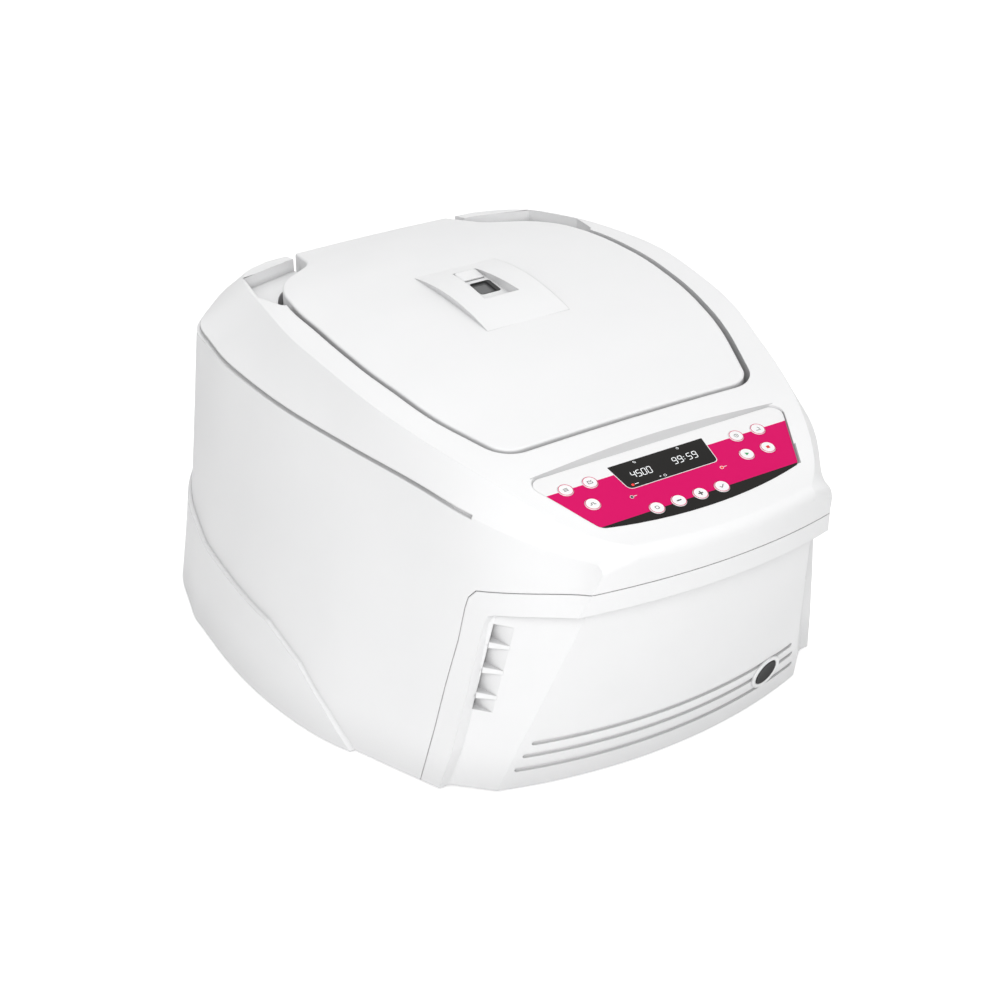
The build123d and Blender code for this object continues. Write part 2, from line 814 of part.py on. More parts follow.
# Main housing
with BuildPart() as main_housing:
    add(hull.part)
    add(skirt.part)
    add(cavity.part, mode=Mode.SUBTRACT)
    add(inner_frame.part)
    with BuildSketch(Plane.XY.offset(deck_top)):
        add(lid_outline(lid_gap, rear_y + lid_gap))
    extrude(amount=above, mode=Mode.SUBTRACT)
    add(pocket_air.part, mode=Mode.SUBTRACT)
    with Locations((0, (trough_front + beyond) / 2, (trough_floor + above) / 2)):
        Box(2 * trough_half, beyond - trough_front, above - trough_floor, mode=Mode.SUBTRACT)
    add(housing_zone, mode=Mode.SUBTRACT)
    add(belt_groove.part, mode=Mode.SUBTRACT)
    add(label_recess.part, mode=Mode.SUBTRACT)
    # chamber hole and the slot for the lid's striker
    with Locations((0, rotor_y, deck_top)):
        Cylinder(bowl_inner + bowl_wall + deck_hole_gap, 4 * deck_thickness, mode=Mode.SUBTRACT)
    with Locations((0, lock_y, deck_top)):
        Box(2 * slot_half, slot_length, 4 * deck_thickness, mode=Mode.SUBTRACT)
    # hinge pin bores, blind from the trough's sides
    for sign in (-1, 1):
        pin_reach = hinge_pin_outer - trough_half
        with Locations(Location((sign * (trough_half + pin_reach / 2), hinge_y, hinge_z), (0, 90, 0))):
            Cylinder(hinge_pin_radius, pin_reach, mode=Mode.SUBTRACT)
    # openings of the control panel
    for x, u in key_places:
        with Locations(Location(panel_plane(x, u))):
            Cylinder(key_radius + key_hole_gap, 4 * board_depth, mode=Mode.SUBTRACT)
    with Locations(Location(panel_plane(*display_middle))):
        Box(display_size[0] + 2 * seat_gap, display_size[1] + 2 * seat_gap, board_depth, mode=Mode.SUBTRACT)
    # rear opening with the rebate that the rear panel lies in
    with Locations((0, rear_y, (rear_panel_low + rear_panel_high) / 2)):
        Box(
            2 * (rear_panel_half - rear_rebate), 10 * rear_frame,
            rear_panel_high - rear_panel_low - 2 * rear_rebate, mode=Mode.SUBTRACT,
        )
    with Locations((0, rear_panel_y + rear_frame, (rear_panel_low + rear_panel_high) / 2)):
        Box(2 * rear_panel_half, 2 * rear_frame, rear_panel_high - rear_panel_low, mode=Mode.SUBTRACT)
    for x, z in rear_screw_places:
        with Locations(Location((x, rear_panel_y - rear_screw_reach / 2, z), (90, 0, 0))):
            Cylinder(screw_radius, rear_screw_reach, mode=Mode.SUBTRACT)
    for x, y in base_screw_places:
        with Locations((x, y, base_plate_bottom + screw_reach / 2)):
            Cylinder(screw_radius, screw_reach, mode=Mode.SUBTRACT)
write(main_housing.part, "main_housing")

# Lid shell with the tachometer boss, hollow underneath
with BuildPart() as lid_block:
    with BuildSketch(Plane.XY.offset(lid_bottom)):
        add(lid_outline(0, rear_y))
    extrude(amount=above)
    add(hull.part, mode=Mode.INTERSECT)
    upright_walls = lid_block.faces().filter_by(
        lambda face: abs(face.normal_at(face.center()).Z) < 0.02 and face.bounding_box().size.Z > 15
    )
    lid_edges = []
    for face in upright_walls:
        lid_edges += [
            edge for edge in face.edges()
            if edge.bounding_box().size.Z < 16 and edge.center().Z > hinge_z and edge.center().Y < rear_y - 8
        ]
    fillet(lid_edges, lid_edge_round)
    with BuildSketch(Plane.YZ.offset(-boss_half)):
        with BuildLine():
            ThreePointArc(
                (boss_front, crown_height(boss_front)),
                ((boss_front + boss_rear) / 2, crown_height((boss_front + boss_rear) / 2) + boss_height),
                (boss_rear, crown_height(boss_rear)),
            )
            Polyline(
                (boss_rear, crown_height(boss_rear)), (boss_rear, boss_root), (boss_front, boss_root),
                (boss_front, crown_height(boss_front)),
            )
        make_face()
    extrude(amount=2 * boss_half)

with BuildPart() as lid_hollow:
    with BuildSketch(Plane.XY.offset(liner_bottom + liner_thickness)):
        add(lid_outline(-lid_wall - liner_ledge, rear_y))
    extrude(amount=above)
    add(hull.part.moved(Location((0, 0, -lid_wall))), mode=Mode.INTERSECT)
    with Locations((0, tongue_front - tongue_wall + beyond, lid_bottom)):
        Box(2 * beyond, 2 * beyond, above, mode=Mode.SUBTRACT)
    with Locations((0, (port_front + port_rear) / 2, lid_bottom)):
        Box(2 * port_core_half, port_rear - port_front + 2 * port_core_wall, above, mode=Mode.SUBTRACT)

with BuildPart() as lid_shell:
    add(lid_block.part)
    add(lid_hollow.part, mode=Mode.SUBTRACT)
    # pocket for the liner
    with BuildSketch(Plane.XY.offset(lid_bottom - 1)):
        add(lid_outline(-lid_wall, rear_y))
        with Locations((0, tongue_front + beyond)):
            Rectangle(2 * beyond, 2 * beyond, mode=Mode.SUBTRACT)
    extrude(amount=liner_bottom + liner_thickness - lid_bottom + 1, mode=Mode.SUBTRACT)
    # port recess with its sloping floor
    add(port_air, mode=Mode.SUBTRACT)
    with Locations(port_location):
        with Locations((0, window_middle_y - port_front, -window_thickness / 2)):
            Box(window_size[0], window_size[1], window_thickness, mode=Mode.SUBTRACT)
    with Locations((0, window_middle_y, lid_bottom)):
        Box(window_sight, window_sight, above, mode=Mode.SUBTRACT)
    # running bores of the hinge pins
    for sign in (-1, 1):
        bore_middle = sign * (hinge_pin_inner + hinge_pin_outer) / 2
        with Locations(Location((bore_middle, hinge_y, hinge_z), (0, 90, 0))):
            Cylinder(hinge_pin_radius + running_gap, hinge_pin_outer - hinge_pin_inner, mode=Mode.SUBTRACT)
write(lid_shell.part, "lid_shell")

# Inner lid liner, seated face to face on the lid's ledge
with BuildPart() as lid_liner:
    with BuildSketch(Plane.XY.offset(liner_bottom)):
        add(lid_outline(-lid_wall - seat_gap, rear_y))
        with Locations((0, tongue_front + beyond - seat_gap)):
            Rectangle(2 * beyond, 2 * beyond, mode=Mode.SUBTRACT)
        with Locations((0, window_middle_y)):
            Rectangle(window_sight, window_sight, mode=Mode.SUBTRACT)
    extrude(amount=liner_thickness)
write(lid_liner.part, "lid_liner")

# Smoked pane let into the port's floor
with BuildPart() as viewing_window:
    with Locations(port_location):
        with Locations((0, window_middle_y - port_front, -window_thickness / 2)):
            Box(window_size[0], window_size[1], window_thickness)
write(viewing_window.part, "viewing_window")

# Shutter tile that slides forward over the pane
with BuildPart() as window_shutter:
    with Locations(port_location):
        with Locations((0, shutter_rear - shutter_size[1] / 2 - port_front, 0)):
            with Locations((0, 0, running_gap + shutter_thickness / 2)):
                Box(*shutter_size, shutter_thickness)
            for y in shutter_rib_places:
                with Locations((0, y, running_gap + shutter_thickness + shutter_rib[2] / 2)):
                    Box(*shutter_rib)
    corner_edges = window_shutter.edges().filter_by(Axis((0, 0, 0), port_plane.z_dir)).filter_by(
        lambda edge: abs(edge.center().X) > shutter_size[0] / 2 - 0.1
    )
    fillet(corner_edges.group_by(Axis.Y)[-1], shutter_round)
write(window_shutter.part, "window_shutter")

# Striker under the lid, with the eye that the lock bolt enters
with BuildPart() as lid_striker:
    with Locations((0, lock_y, liner_bottom - striker_foot[2] / 2)):
        Box(*striker_foot)
    with Locations((0, lock_y, (liner_bottom + striker_bottom) / 2)):
        Box(2 * striker_half, striker_width, liner_bottom - striker_bottom)
    with Locations(Location((0, lock_y, lock_bolt_z), (0, 90, 0))):
        Cylinder(lock_bolt_radius + striker_eye_gap, 4 * striker_half, mode=Mode.SUBTRACT)
write(lid_striker.part, "lid_striker")

# Hinge pins, fixed in the housing's lugs
with BuildPart() as hinge_pins:
    for sign in (-1, 1):
        pin_length = hinge_pin_outer - hinge_pin_inner
        with Locations(Location((sign * (hinge_pin_inner + pin_length / 2), hinge_y, hinge_z), (0, 90, 0))):
            Cylinder(hinge_pin_radius, pin_length)
write(hinge_pins.part, "hinge_pins")

# Lock housing under the deck, with the bolt's bore and the striker's slot
with BuildPart() as lock_housing:
    lock_top = deck_top - deck_thickness
    with Locations((0, lock_y, (lock_top + lock_bottom) / 2)):
        Box(2 * lock_half, 2 * lock_depth, lock_top - lock_bottom)
    with Locations((0, lock_y, lock_bottom + lock_wall + (lock_top - lock_bottom) / 2)):
        Box(2 * slot_half, slot_length, lock_top - lock_bottom, mode=Mode.SUBTRACT)
    with Locations(Location((0, lock_y, lock_bolt_z), (0, 90, 0))):
        Cylinder(lock_bolt_radius + running_gap, 2 * (lock_half - lock_wall), mode=Mode.SUBTRACT)
write(lock_housing.part, "lock_housing")

with BuildPart() as lock_bolt:
    with Locations(Location((-lock_bolt_tip - lock_bolt_length / 2, lock_y, lock_bolt_z), (0, 90, 0))):
        Cylinder(lock_bolt_radius, lock_bolt_length)
    chamfer(lock_bolt.edges().group_by(Axis.X)[-1], lock_bolt_bevel)
write(lock_bolt.part, "lock_bolt")

# Chamber bowl lying on the deck by its flange
with BuildPart() as chamber_bowl:
    with BuildSketch(Plane.XZ.offset(-rotor_y)):
        with BuildLine():
            Polyline(
                (bowl_inner - bowl_corner, bowl_floor), (bowl_hole, bowl_floor),
                (bowl_hole, bowl_floor - bowl_wall), (bowl_inner - bowl_corner, bowl_floor - bowl_wall),
            )
            RadiusArc(
                (bowl_inner - bowl_corner, bowl_floor - bowl_wall),
                (bowl_inner + bowl_wall, bowl_floor + bowl_corner), -bowl_corner - bowl_wall,
            )
            Polyline(
                (bowl_inner + bowl_wall, bowl_floor + bowl_corner), (bowl_inner + bowl_wall, deck_top),
                (bowl_flange, deck_top), (bowl_flange, deck_top + bowl_flange_thickness),
                (bowl_inner, deck_top + bowl_flange_thickness), (bowl_inner, bowl_floor + bowl_corner),
            )
            RadiusArc(
                (bowl_inner, bowl_floor + bowl_corner), (bowl_inner - bowl_corner, bowl_floor), bowl_corner,
            )
        make_face()
    revolve(axis=Axis((0, rotor_y, 0), (0, 0, 1)))
write(chamber_bowl.part, "chamber_bowl")

with BuildPart() as chamber_gasket:
    with BuildSketch(Plane.XY.offset(deck_top + bowl_flange_thickness)):
        with Locations((0, rotor_y)):
            Circle(gasket_outer)
            Circle(gasket_inner, mode=Mode.SUBTRACT)
    extrude(amount=gasket_height)
write(chamber_gasket.part, "chamber_gasket")

# Drive: dampers, plate, motor, bearings and shaft on the rotor's axis
plate_bottom = base_top + damper_height
motor_bottom = plate_bottom + motor_plate_thickness
motor_top = motor_bottom + motor_height
stator_middle = (motor_bottom + motor_top) / 2

with BuildPart() as dampers:
    with BuildSketch(Plane.XY.offset(base_top)):
        with Locations((0, rotor_y)):
            with PolarLocations(damper_circle, damper_count, start_angle=90):
                Circle(damper_radius)
    extrude(amount=damper_height)
write(dampers.part, "dampers")

with BuildPart() as motor_plate:
    with BuildSketch(Plane.XY.offset(plate_bottom)):
        with Locations((0, rotor_y)):
            Circle(motor_plate_radius)
    extrude(amount=motor_plate_thickness)
write(motor_plate.part, "motor_plate")

with BuildPart() as motor_housing:
    with Locations((0, rotor_y, stator_middle)):
        Cylinder(motor_radius, motor_height)
        Cylinder(
            motor_radius - motor_wall, motor_height - 2 * (motor_end + bearing_height),
            mode=Mode.SUBTRACT,
        )
        Cylinder(bearing_outer, motor_height - 2 * motor_end, mode=Mode.SUBTRACT)
    with Locations((0, rotor_y, motor_top)):
        Cylinder(shaft_radius + shaft_hole_gap, 4 * motor_end, mode=Mode.SUBTRACT)
write(motor_housing.part, "motor_housing")

with BuildPart() as motor_stator:
    with Locations((0, rotor_y, stator_middle)):
        Cylinder(motor_radius - motor_wall, 2 * stator_half)
        Cylinder(stator_inner, 2 * stator_half, mode=Mode.SUBTRACT)
write(motor_stator.part, "motor_stator")

with BuildPart() as lower_bearing:
    with Locations((0, rotor_y, motor_bottom + motor_end + bearing_height / 2)):
        Cylinder(bearing_outer, bearing_height)
        Cylinder(shaft_radius + running_gap, bearing_height, mode=Mode.SUBTRACT)
write(lower_bearing.part, "lower_bearing")

with BuildPart() as upper_bearing:
    with Locations((0, rotor_y, motor_top - motor_end - bearing_height / 2)):
        Cylinder(bearing_outer, bearing_height)
        Cylinder(shaft_radius + running_gap, bearing_height, mode=Mode.SUBTRACT)
write(upper_bearing.part, "upper_bearing")

with BuildPart() as drive_shaft:
    with BuildSketch(Plane.XY.offset(shaft_bottom)):
        with Locations((0, rotor_y)):
            Circle(shaft_radius)
    extrude(amount=shaft_top - shaft_bottom)
write(drive_shaft.part, "drive_shaft")

with BuildPart() as motor_armature:
    with Locations((0, rotor_y, stator_middle)):
        Cylinder(armature_radius, 2 * armature_half)
        Cylinder(shaft_radius, 2 * stator_half, mode=Mode.SUBTRACT)
write(motor_armature.part, "motor_armature")

# Rotor head: a disc with four open pockets for the buckets
with BuildPart() as rotor_head:
    with Locations((0, rotor_y, rotor_pivot_z)):
        Cylinder(rotor_head_radius, 2 * rotor_head_half)
    for turn in range(bucket_count):
        with Locations(Location((0, rotor_y, rotor_pivot_z), (0, 0, 90 * turn))):
            with Locations((pocket_inner + rotor_head_radius / 2, 0, 0)):
                Box(rotor_head_radius, 2 * pocket_half, 4 * rotor_head_half, mode=Mode.SUBTRACT)
    with BuildSketch(Plane.XY.offset(rotor_hub_bottom)):
        with Locations((0, rotor_y)):
            Circle(rotor_hub_radius)
    extrude(amount=rotor_hub_top - rotor_hub_bottom)
    outer_edges = rotor_head.edges().filter_by(GeomType.CIRCLE).filter_by(
        lambda edge: abs(edge.radius - rotor_head_radius) < 0.01
    )
    chamfer(outer_edges, rotor_bevel)
    for turn in range(bucket_count):
        for side in (-1, 1):
            with Locations(Location((0, rotor_y, rotor_pivot_z), (0, 0, 90 * turn))):
                root_middle = side * (pocket_half + trunnion_root) / 2
                with Locations(Location((rotor_pivot_radius, root_middle, 0), (90, 0, 0))):
                    Cylinder(trunnion_radius, trunnion_root - pocket_half, mode=Mode.SUBTRACT)
    with Locations((0, rotor_y, rotor_pivot_z)):
        Cylinder(shaft_radius, 100, mode=Mode.SUBTRACT)
write(rotor_head.part, "rotor_head")

with BuildPart() as rotor_nut:
    with BuildSketch(Plane.XY.offset(rotor_hub_top)):
        with Locations((0, rotor_y)):
            RegularPolygon(nut_radius, 6)
    extrude(amount=nut_top - rotor_hub_top)
    with Locations((0, rotor_y, (rotor_hub_top + shaft_top) / 2)):
        Cylinder(shaft_radius, shaft_top - rotor_hub_top, mode=Mode.SUBTRACT)
    chamfer(rotor_nut.edges().group_by(Axis.Z)[-1], rotor_bevel)
write(rotor_nut.part, "rotor_nut")

with BuildPart() as trunnion_pins:
    for turn in range(bucket_count):
        for side in (-1, 1):
            with Locations(Location((0, rotor_y, rotor_pivot_z), (0, 0, 90 * turn))):
                pin_middle = side * (trunnion_tip + trunnion_root) / 2
                with Locations(Location((rotor_pivot_radius, pin_middle, 0), (90, 0, 0))):
                    Cylinder(trunnion_radius, trunnion_root - trunnion_tip)
write(trunnion_pins.part, "trunnion_pins")

# Swing-out buckets hanging on the trunnion pins
for turn in range(bucket_count):
    with BuildPart() as bucket:
        with Locations(Location((0, rotor_y, rotor_pivot_z), (0, 0, 90 * turn))):
            with Locations((rotor_pivot_radius, 0, (bucket_above - bucket_below) / 2)):
                Cylinder(bucket_outer, bucket_above + bucket_below)
            with Locations(Location((rotor_pivot_radius, 0, 0), (90, 0, 0))):
                Cylinder(trunnion_pad, 2 * trunnion_pad_reach)
            with Locations((rotor_pivot_radius, 0, (bucket_above - bucket_below + bucket_floor) / 2)):
                Cylinder(bucket_inner, bucket_above + bucket_below - bucket_floor, mode=Mode.SUBTRACT)
            for side in (-1, 1):
                bore_inner = trunnion_tip - running_gap
                bore_middle = side * (bore_inner + trunnion_pad_reach + 1) / 2
                with Locations(Location((rotor_pivot_radius, bore_middle, 0), (90, 0, 0))):
                    Cylinder(
                        trunnion_radius + running_gap, trunnion_pad_reach + 1 - bore_inner,
                        mode=Mode.SUBTRACT,
                    )
    write(bucket.part, f"bucket_{turn + 1}")

# Base plate, its screws and the feet
with BuildPart() as base_plate:
    with BuildSketch(Plane.XY.offset(base_plate_bottom)):
        with BuildLine():
            Polyline(*base_points, close=True)
        make_face()
        with Locations(*base_screw_places):
            Circle(screw_radius + screw_hole_gap, mode=Mode.SUBTRACT)
        with Locations((0, base_vent_y)):
            with GridLocations(base_vent_pitch, 0, base_vent_count, 1):
                SlotOverall(*base_vent, rotation=90, mode=Mode.SUBTRACT)
    extrude(amount=base_plate_thickness)
write(base_plate.part, "base_plate")

with BuildPart() as base_screws:
    for x, y in base_screw_places:
        with Locations((x, y, base_plate_bottom - screw_head_height / 2)):
            Cylinder(screw_head_radius, screw_head_height)
        with Locations((x, y, base_plate_bottom + screw_reach / 2)):
            Cylinder(screw_radius, screw_reach)
write(base_screws.part, "base_screws")

for number, (x, y) in enumerate(foot_places, 1):
    with BuildPart() as foot:
        with Locations((x, y, base_plate_bottom / 2)):
            Cylinder(foot_radius, base_plate_bottom)
        chamfer(foot.edges().group_by(Axis.Z)[0], foot_bevel)
    write(foot.part, f"foot_{number}")

# Rear panel with vents, a fan opening and the cut-out for the mains inlet
with BuildPart() as rear_panel:
    panel_middle_z = (rear_panel_low + rear_panel_high) / 2
    with BuildSketch(Plane.XZ.offset(-rear_panel_y - rear_panel_thickness)):
        with Locations((0, panel_middle_z)):
            Rectangle(
                2 * rear_panel_half - 2 * seat_gap,
                rear_panel_high - rear_panel_low - 2 * seat_gap,
            )
        for row in range(-fan_slot_rows, fan_slot_rows + 1):
            reach = (fan_bore**2 - (row * vent_pitch) ** 2) ** 0.5
            with Locations((fan_x, fan_z + row * vent_pitch)):
                SlotOverall(2 * reach, vent_slot, mode=Mode.SUBTRACT)
        for row in range(vent_count):
            with Locations((inlet_x, vent_low + row * vent_pitch)):
                SlotOverall(vent_width, vent_slot, mode=Mode.SUBTRACT)
        with Locations((inlet_x, inlet_z)):
            Rectangle(
                inlet_width + screw_hole_gap, inlet_height + fuse_height + screw_hole_gap, mode=Mode.SUBTRACT,
            )
        with Locations(*rear_screw_places):
            Circle(screw_radius + screw_hole_gap, mode=Mode.SUBTRACT)
    extrude(amount=rear_panel_thickness)
write(rear_panel.part, "rear_panel")

with BuildPart() as rear_screws:
    head_middle = rear_panel_y + rear_panel_thickness + screw_head_height / 2
    for x, z in rear_screw_places:
        with Locations(Location((x, head_middle, z), (90, 0, 0))):
            Cylinder(screw_head_radius, screw_head_height)
        shank_middle = rear_panel_y + (rear_panel_thickness - rear_screw_reach) / 2
        with Locations(Location((x, shank_middle, z), (90, 0, 0))):
            Cylinder(screw_radius, rear_screw_reach + rear_panel_thickness)
write(rear_screws.part, "rear_screws")

# Mains inlet with three blades in its socket, and the fuse drawer above it
outside = rear_panel_y + rear_panel_thickness
inlet_face = outside + inlet_flange_thickness
with BuildPart() as mains_inlet:
    with Locations((inlet_x, inlet_face - inlet_depth / 2, inlet_z)):
        Box(inlet_width, inlet_depth, inlet_height + fuse_height)
    with Locations((inlet_x, inlet_face - inlet_flange_thickness / 2, inlet_z)):
        Box(
            inlet_width + 2 * inlet_flange, inlet_flange_thickness,
            inlet_height + fuse_height + 2 * inlet_flange,
        )
    with Locations((inlet_x, inlet_face - inlet_socket_depth / 2, inlet_z - fuse_height / 2)):
        Box(inlet_width - 4, inlet_socket_depth, inlet_height - 4, mode=Mode.SUBTRACT)
    for x, z in inlet_blade_places:
        with Locations((inlet_x + x, inlet_face - inlet_socket_depth + inlet_blade[1] / 2, inlet_z + z)):
            Box(*inlet_blade)
    with Locations((inlet_x, inlet_face - fuse_drawer_depth / 2, inlet_z + inlet_height / 2)):
        Box(fuse_drawer_width, fuse_drawer_depth, fuse_drawer_height, mode=Mode.SUBTRACT)
write(mains_inlet.part, "mains_inlet")

with BuildPart() as fuse_drawer:
    drawer_length = fuse_drawer_depth - seat_gap
    with Locations((inlet_x, inlet_face - drawer_length / 2, inlet_z + inlet_height / 2)):
        Box(
            fuse_drawer_width - 2 * running_gap, drawer_length,
            fuse_drawer_height - 2 * running_gap,
        )
        with Locations((0, -1, 0)):
            Cylinder(fuse_radius, fuse_length, rotation=(0, 90, 0), mode=Mode.SUBTRACT)
write(fuse_drawer.part, "fuse_drawer")

# Fan: square frame with a hub on four struts, and the impeller in front of the hub
with BuildPart() as fan_frame:
    fan_middle_y = rear_panel_y - fan_depth / 2
    with Locations(Location((fan_x, fan_middle_y, fan_z), (90, 0, 0))):
        Box(fan_size, fan_size, fan_depth)
        Cylinder(fan_bore, fan_depth, mode=Mode.SUBTRACT)
    with Locations(Location((fan_x, rear_panel_y - fan_hub_depth / 2, fan_z), (90, 0, 0))):
        Cylinder(fan_hub_radius - 1, fan_hub_depth)
        for turn in (45, 135):
            with Locations(Location((0, 0, fan_strut[1] / 2), (0, 0, turn))):
                Box(2 * fan_bore + 4, *fan_strut)
        Cylinder(fan_axle_radius + running_gap, 2 * fan_hub_depth, mode=Mode.SUBTRACT)
write(fan_frame.part, "fan_frame")

with BuildPart() as fan_impeller:
    with Locations(Location((fan_x, fan_middle_y - 2, fan_z), (90, 0, 0))):
        Cylinder(fan_hub_radius, impeller_depth)
        for blade in range(fan_blades):
            blade_middle = (fan_hub_radius + fan_blade_reach) / 2 - 1
            with Locations(Location((0, 0, 0), (0, 0, 360 * blade / fan_blades))):
                with Locations(Location((blade_middle, 0, 0), (fan_blade_pitch, 0, 0))):
                    Box(fan_blade_reach - fan_hub_radius + 2, *fan_blade)
    with Locations(Location((fan_x, fan_middle_y + fan_axle_length / 2, fan_z), (90, 0, 0))):
        Cylinder(fan_axle_radius, fan_axle_length)
write(fan_impeller.part, "fan_impeller")

# Power button: fixed ring with a blind tube, and the cap that runs in it
with BuildPart() as power_button_ring:
    with Locations(power_location):
        with Locations((0, 0, power_ring_proud / 2)):
            Cylinder(power_ring_radius, power_ring_proud)
        with Locations((0, 0, -power_depth / 2)):
            Cylinder(power_body_radius, power_depth)
        with Locations((0, 0, power_ring_proud - power_depth / 2)):
            Cylinder(power_ring_inner, power_depth, mode=Mode.SUBTRACT)
write(power_button_ring.part, "power_button_ring")

with BuildPart() as power_button:
    with Locations(power_location):
        with Locations((0, 0, power_cap_proud - power_cap_depth / 2)):
            Cylinder(power_cap_radius, power_cap_depth)
write(power_button.part, "power_button")

# Panel label lying in its recess, open at the keys and the display
label_bottom_face = label_face(0.0, 0.0, -label_thickness)
with BuildPart() as panel_label:
    add(label_bottom_face)
    extrude(amount=label_thickness)
    for x, u in key_places:
        with Locations(Location(panel_plane(x, u))):
            Cylinder(key_radius + key_hole_gap, 4 * board_depth, mode=Mode.SUBTRACT)
    with Locations(Location(panel_plane(*display_middle))):
        Box(display_size[0] + 2 * seat_gap, display_size[1] + 2 * seat_gap, board_depth, mode=Mode.SUBTRACT)
write(panel_label.part, "panel_label")

# Display standing on the control board, its face level with the label
with BuildPart() as display_module:
    with Locations(Location(panel_plane(*display_middle, -board_depth / 2))):
        Box(*display_size, board_depth)
write(display_module.part, "display_module")

with BuildPart() as control_board:
    with Locations(Location(panel_plane(*board_middle, -board_depth - board_thickness / 2))):
        Box(*board_size, board_thickness)
    for x, u, width, length, height in board_parts:
        with Locations(Location(panel_plane(x, u, -board_depth - board_thickness - height / 2))):
            Box(width, length, height)
write(control_board.part, "control_board")

# Keys: a cap through the panel, a flange under it and a stem towards the board
key_flange_bottom = key_flange_top - key_flange_thickness
key_stem_end = -board_depth + key_travel + seat_gap
for number, (x, u) in enumerate(key_places, 1):
    with BuildPart() as key:
        with BuildSketch(panel_plane(x, u, key_flange_bottom)):
            Circle(key_radius)
        extrude(amount=key_proud - key_flange_bottom)
        chamfer(key.edges().group_by(Axis((0, 0, 0), panel_out))[-1], key_bevel)
        with BuildSketch(panel_plane(x, u, key_flange_bottom)):
            Circle(key_radius + key_flange)
        extrude(amount=key_flange_thickness)
        with BuildSketch(panel_plane(x, u, key_stem_end)):
            Circle(key_stem_radius)
        extrude(amount=key_flange_bottom - key_stem_end)
    write(key.part, f"key_{number:02d}")

# Power supply, heat sink and imbalance switch on the base plate
with BuildPart() as power_supply:
    width, length, height = supply_size
    with Locations((*supply_place, base_top + height / 2)):
        Box(width, length, height)
        Box(width - 2 * supply_wall, length - 2 * supply_wall, height - 2 * supply_wall, mode=Mode.SUBTRACT)
    with Locations((supply_place[0], supply_place[1] - 20, base_top + supply_wall + supply_coil[2] / 2)):
        Box(*supply_coil)
    for row in range(supply_vents):
        with Locations((supply_place[0], supply_place[1] + 22 + row * supply_vent_pitch, base_top + height)):
            Box(*supply_vent, mode=Mode.SUBTRACT)
write(power_supply.part, "power_supply")

with BuildPart() as heat_sink:
    width, length, height = sink_size
    with Locations((*sink_place, base_top + sink_base / 2)):
        Box(width, length, sink_base)
    with Locations((*sink_place, base_top + (height + sink_base) / 2)):
        with GridLocations((width - sink_fin) / (sink_fins - 1), 0, sink_fins, 1):
            Box(sink_fin, length, height - sink_base)
write(heat_sink.part, "heat_sink")

with BuildPart() as imbalance_switch:
    with Locations((*imbalance_place, base_top + imbalance_size[2] / 2)):
        Box(*imbalance_size)
    with Locations((*imbalance_place, base_top + imbalance_size[2] + imbalance_lever[2] / 2)):
        Box(*imbalance_lever)
write(imbalance_switch.part, "imbalance_switch")
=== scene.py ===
from math import cos, pi, radians, sin

import bmesh
import bpy
import numpy as np
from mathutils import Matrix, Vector


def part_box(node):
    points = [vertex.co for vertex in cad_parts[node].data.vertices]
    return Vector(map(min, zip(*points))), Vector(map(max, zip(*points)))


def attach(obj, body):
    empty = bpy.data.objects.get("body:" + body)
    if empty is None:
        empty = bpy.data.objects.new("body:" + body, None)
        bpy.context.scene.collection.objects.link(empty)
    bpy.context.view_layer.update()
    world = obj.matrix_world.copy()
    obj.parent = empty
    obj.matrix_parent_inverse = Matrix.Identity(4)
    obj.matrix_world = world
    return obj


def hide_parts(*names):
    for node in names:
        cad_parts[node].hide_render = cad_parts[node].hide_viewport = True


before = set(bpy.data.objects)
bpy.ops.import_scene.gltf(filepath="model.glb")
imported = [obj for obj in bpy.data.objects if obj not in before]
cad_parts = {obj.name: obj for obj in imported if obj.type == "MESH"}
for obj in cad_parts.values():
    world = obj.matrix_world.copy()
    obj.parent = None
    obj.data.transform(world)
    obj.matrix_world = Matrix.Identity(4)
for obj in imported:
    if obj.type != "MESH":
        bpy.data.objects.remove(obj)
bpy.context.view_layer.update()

# ---------------------------------------------------------------- white mouldings
# Main housing, front cover and lid shell: thick injection mouldings in off-white ABS
# with a fine spark-eroded skin. They are screwed together from the inside, so the
# outside shows only seams and softly rounded edges, with painted shade in the corners.


def place(tree, kind, feeds=None, **settings):
    """Puts a node into a tree. Each feed is an input's value, or the output that it is linked to."""
    made = tree.nodes.new("ShaderNode" + kind)
    for key, value in settings.items():
        setattr(made, key, value)
    for key, value in (feeds or {}).items():
        if isinstance(value, bpy.types.NodeSocket):
            tree.links.new(value, made.inputs[key])
        else:
            made.inputs[key].default_value = value
    return made


def effect(name, inputs, outputs):
    """Empty group for an effect: its tree, its input sockets and its output node."""
    tree = bpy.data.node_groups.new(name, "ShaderNodeTree")
    for label, value in inputs.items():
        tree.interface.new_socket(label, in_out="INPUT", socket_type="NodeSocketFloat").default_value = value
    for label, kind in outputs.items():
        tree.interface.new_socket(label, in_out="OUTPUT", socket_type="NodeSocket" + kind)
    return tree, tree.nodes.new("NodeGroupInput").outputs, tree.nodes.new("NodeGroupOutput")


def reckon(tree, operation, *values):
    """Output of a Math node on values or outputs."""
    return place(tree, "Math", dict(enumerate(values)), operation=operation).outputs[0]


def ramp(tree, value, low=0.0, high=1.0, to_low=0.0, to_high=1.0):
    """Output that runs from to_low to to_high while the value runs from low to high, and stops there."""
    feeds = {"Value": value, "From Min": low, "From Max": high, "To Min": to_low, "To Max": to_high}
    return place(tree, "MapRange", feeds).outputs["Result"]


def blend(tree, share, *colours):
    """Output that goes from the first colour to the second by the share. A colour is a value or an output."""
    feeds = {0: share}
    for key, colour in zip((6, 7), colours):
        feeds[key] = colour if isinstance(colour, bpy.types.NodeSocket) else (*colour, 1)
    return place(tree, "Mix", feeds, data_type="RGBA").outputs[2]


